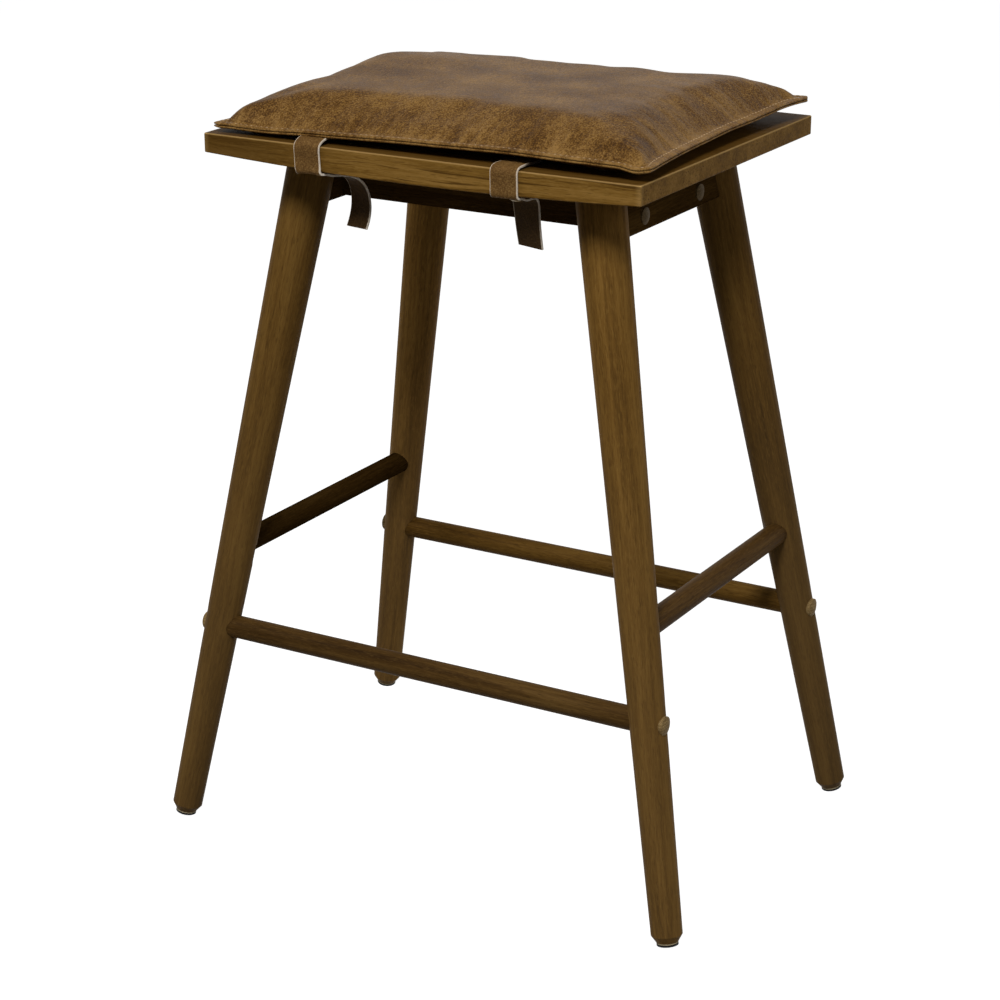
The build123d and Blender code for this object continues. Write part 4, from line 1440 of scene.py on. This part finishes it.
@dataclass
class Straps:
    """The four straps, two over the front edge and two over the back, and their routes."""

    left: float = -97.5
    right: float = 83.5
    taut: tuple[tuple[float, ...], ...] = (
        *((118.0, 621.2), (130.0, 621.4), (142.0, 622.4), (152.0, 622.7), (157.8, 621.6)),
        *((159.8, 618.6), (159.4, 613.0), (159.2, 607.0), (159.4, 601.6), (158.4, 598.3)),
        *((155.0, 597.6), (150.5, 597.2), (146.5, 595.4), (142.5, 594.3), (135.0, 594.3)),
        *((128.5, 593.6), (124.5, 589.5, -2.0), (123.2, 582.0, -4.0), (121.4, 570.0, -7.0)),
        *((118.0, 556.0, -9.0), (116.2, 549.6, -10.0)),
    )
    slack: tuple[tuple[float, ...], ...] = (
        *((117.0, 621.2), (127.0, 621.6), (136.0, 623.0), (143.0, 624.6), (149.0, 625.0)),
        *((154.6, 623.4), (159.4, 621.0), (159.8, 616.0), (159.1, 611.0)),
        *((159.1, 605.0, 0.0, 0.2), (159.6, 600.4, 0.0, 0.8), (158.2, 597.8, 0.0, 1.4)),
        *((154.0, 597.4, -4.0, 2.2), (149.0, 596.6, -8.0, 2.8), (142.5, 594.3, -14.0, 3.0)),
        *((133.0, 594.0, -18.0, 6.4), (122.0, 592.0, -22.0, 11.0), (113.4, 586.0, -22.0, 15.6)),
        *((110.0, 576.0, -20.0, 18.0, -1.0), (110.0, 565.0, -18.0, 19.2, -1.0)),
        *((113.0, 554.0, -16.0, 19.2, 0.0), (117.5, 545.4, -16.0, 18.2, 1.0)),
    )

    def build(self) -> None:
        """Make the four straps."""
        leather = AgedLeather(
            "strap_leather", STRAP_TAN, pebbles=1200, gloss=0.66, shine=0.06, board_shadow_share=0.80
        )
        finishes = leather.make(), RAW_EDGE.make()
        routes = {
            "front_left": (self.left, -1, self.slack),
            "front_right": (self.right, -1, self.taut),
            "back_left": (self.left, 1, self.taut),
            "back_right": (self.right, 1, self.taut),
        }
        for corner, (x, end, points) in routes.items():
            route = [Waypoint(*point) for point in points]
            Strap(corner, x, end, route).build(*finishes)


@dataclass(frozen=True)
class SoftBox:
    """A large soft light of the studio."""

    name: str
    place: Triple
    aim: Triple
    width: float
    height: float
    power: float

    def hang(self) -> None:
        """Hang the light."""
        light = bpy.data.lights.new(self.name, "AREA")
        light.shape = "RECTANGLE"
        light.size = self.width
        light.size_y = self.height
        light.energy = self.power
        lamp = bpy.data.objects.new(self.name, light)
        lamp.location = self.place
        aim = Vector(self.aim) - Vector(self.place)
        lamp.rotation_euler = aim.to_track_quat("-Z", "Y").to_euler()
        bpy.context.scene.collection.objects.link(lamp)


@dataclass
class Studio:
    """Floor, surroundings, lights and the camera at the photograph's angle."""

    eye: Triple = (1.0447, -1.8241, 1.0347)
    target: Triple = (0.00622, -0.03201, 0.30048)
    roll: float = -0.04
    focal_pixels: float = 2560.83
    picture_pixels: float = 1000.0
    sensor: float = 36.0
    floor_reach: float = 30.0
    floor_tone: float = 0.28
    floor_glow: float = 0.975
    ambient: float = 0.05

    def camera(self) -> None:
        """Place the camera."""
        lens = bpy.data.cameras.new("photo_camera")
        lens.sensor_width = self.sensor
        lens.lens = self.focal_pixels / self.picture_pixels * self.sensor
        lens.clip_start = 0.05
        lens.clip_end = 100.0
        camera = bpy.data.objects.new("photo_camera", lens)
        look = (Vector(self.target) - Vector(self.eye)).to_track_quat("-Z", "Y")
        roll = Matrix.Rotation(math.radians(self.roll), 3, "Z")
        camera.rotation_euler = (look.to_matrix() @ roll).to_euler()
        camera.location = self.eye
        bpy.context.scene.collection.objects.link(camera)
        bpy.context.scene.camera = camera

    @staticmethod
    def seen(recipe: Recipe) -> Signal:
        """1 for the camera's own rays and for mirrored and refracted ones, otherwise 0."""
        path = "ShaderNodeLightPath"
        camera = recipe.node(path, {}, {}, "Is Camera Ray")
        glossy = recipe.node(path, {}, {}, "Is Glossy Ray")
        through = recipe.node(path, {}, {}, "Is Transmission Ray")
        return recipe.node("ShaderNodeClamp", {}, {"Value": camera + glossy + through})

    def floor(self) -> None:
        """Lay the pale floor, which keeps the stool's soft shadow."""
        ground = bmesh.new()
        bmesh.ops.create_grid(ground, x_segments=1, y_segments=1, size=self.floor_reach)
        recipe = Recipe("studio_floor")
        tone = paint(*[self.floor_tone] * 3)
        plain = recipe.node("ShaderNodeBsdfDiffuse", {}, {"Color": tone})
        glow = recipe.node("ShaderNodeEmission", {}, {"Color": WHITE, "Strength": self.floor_glow})
        pale = recipe.node("ShaderNodeAddShader", {}, {0: plain, 1: glow})
        shader = recipe.node("ShaderNodeMixShader", {}, {0: self.seen(recipe), 1: plain, 2: pale})
        floor = keep_piece("studio_floor", as_mesh(ground, "studio_floor"), [recipe.finish(shader)])
        floor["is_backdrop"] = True

    def surroundings(self) -> None:
        """Light the stool evenly from all round, with white behind it."""
        recipe = Recipe("studio_world", world=True)
        white = recipe.node("ShaderNodeBackground", {}, {"Color": WHITE, "Strength": 1.0})
        soft = recipe.node("ShaderNodeBackground", {}, {"Color": WHITE, "Strength": self.ambient})
        shader = recipe.node("ShaderNodeMixShader", {}, {0: self.seen(recipe), 1: soft, 2: white})
        bpy.context.scene.world = recipe.finish(shader)

    def build(self) -> None:
        """Set up the whole studio."""
        self.camera()
        self.floor()
        self.surroundings()
        middle = (0.0, 0.0, 0.35)
        lights = (
            SoftBox("key_softbox", (0.7, -2.0, 2.7), middle, 0.7, 0.7, 66.0),
            SoftBox("left_softbox", (-1.7, -1.5, 2.4), middle, 0.8, 0.8, 21.0),
            SoftBox("right_softbox", (2.4, -0.5, 1.5), middle, 0.8, 0.9, 8.0),
            SoftBox("top_softbox", (0.1, 1.0, 2.4), (0.0, 0.0, 0.6), 1.4, 1.2, 3.0),
            SoftBox("back_softbox", (1.7, 2.3, 1.4), middle, 1.2, 1.2, 8.0),
        )
        for light in lights:
            light.hang()
        bpy.context.scene.view_settings.view_transform = "Standard"


def corners() -> list[list[float]]:
    """The object's lowest and highest corners now, as plain lists."""
    return [list(corner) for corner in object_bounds()]


def main() -> None:
    """Build the stool's looks in order."""
    logging.basicConfig(level=logging.INFO, format="%(message)s")
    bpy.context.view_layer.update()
    Studio().build()
    Joinery().dress()
    Hardware().dress()
    Cushion().build()
    Straps().build()


if __name__ == "__main__":
    main()
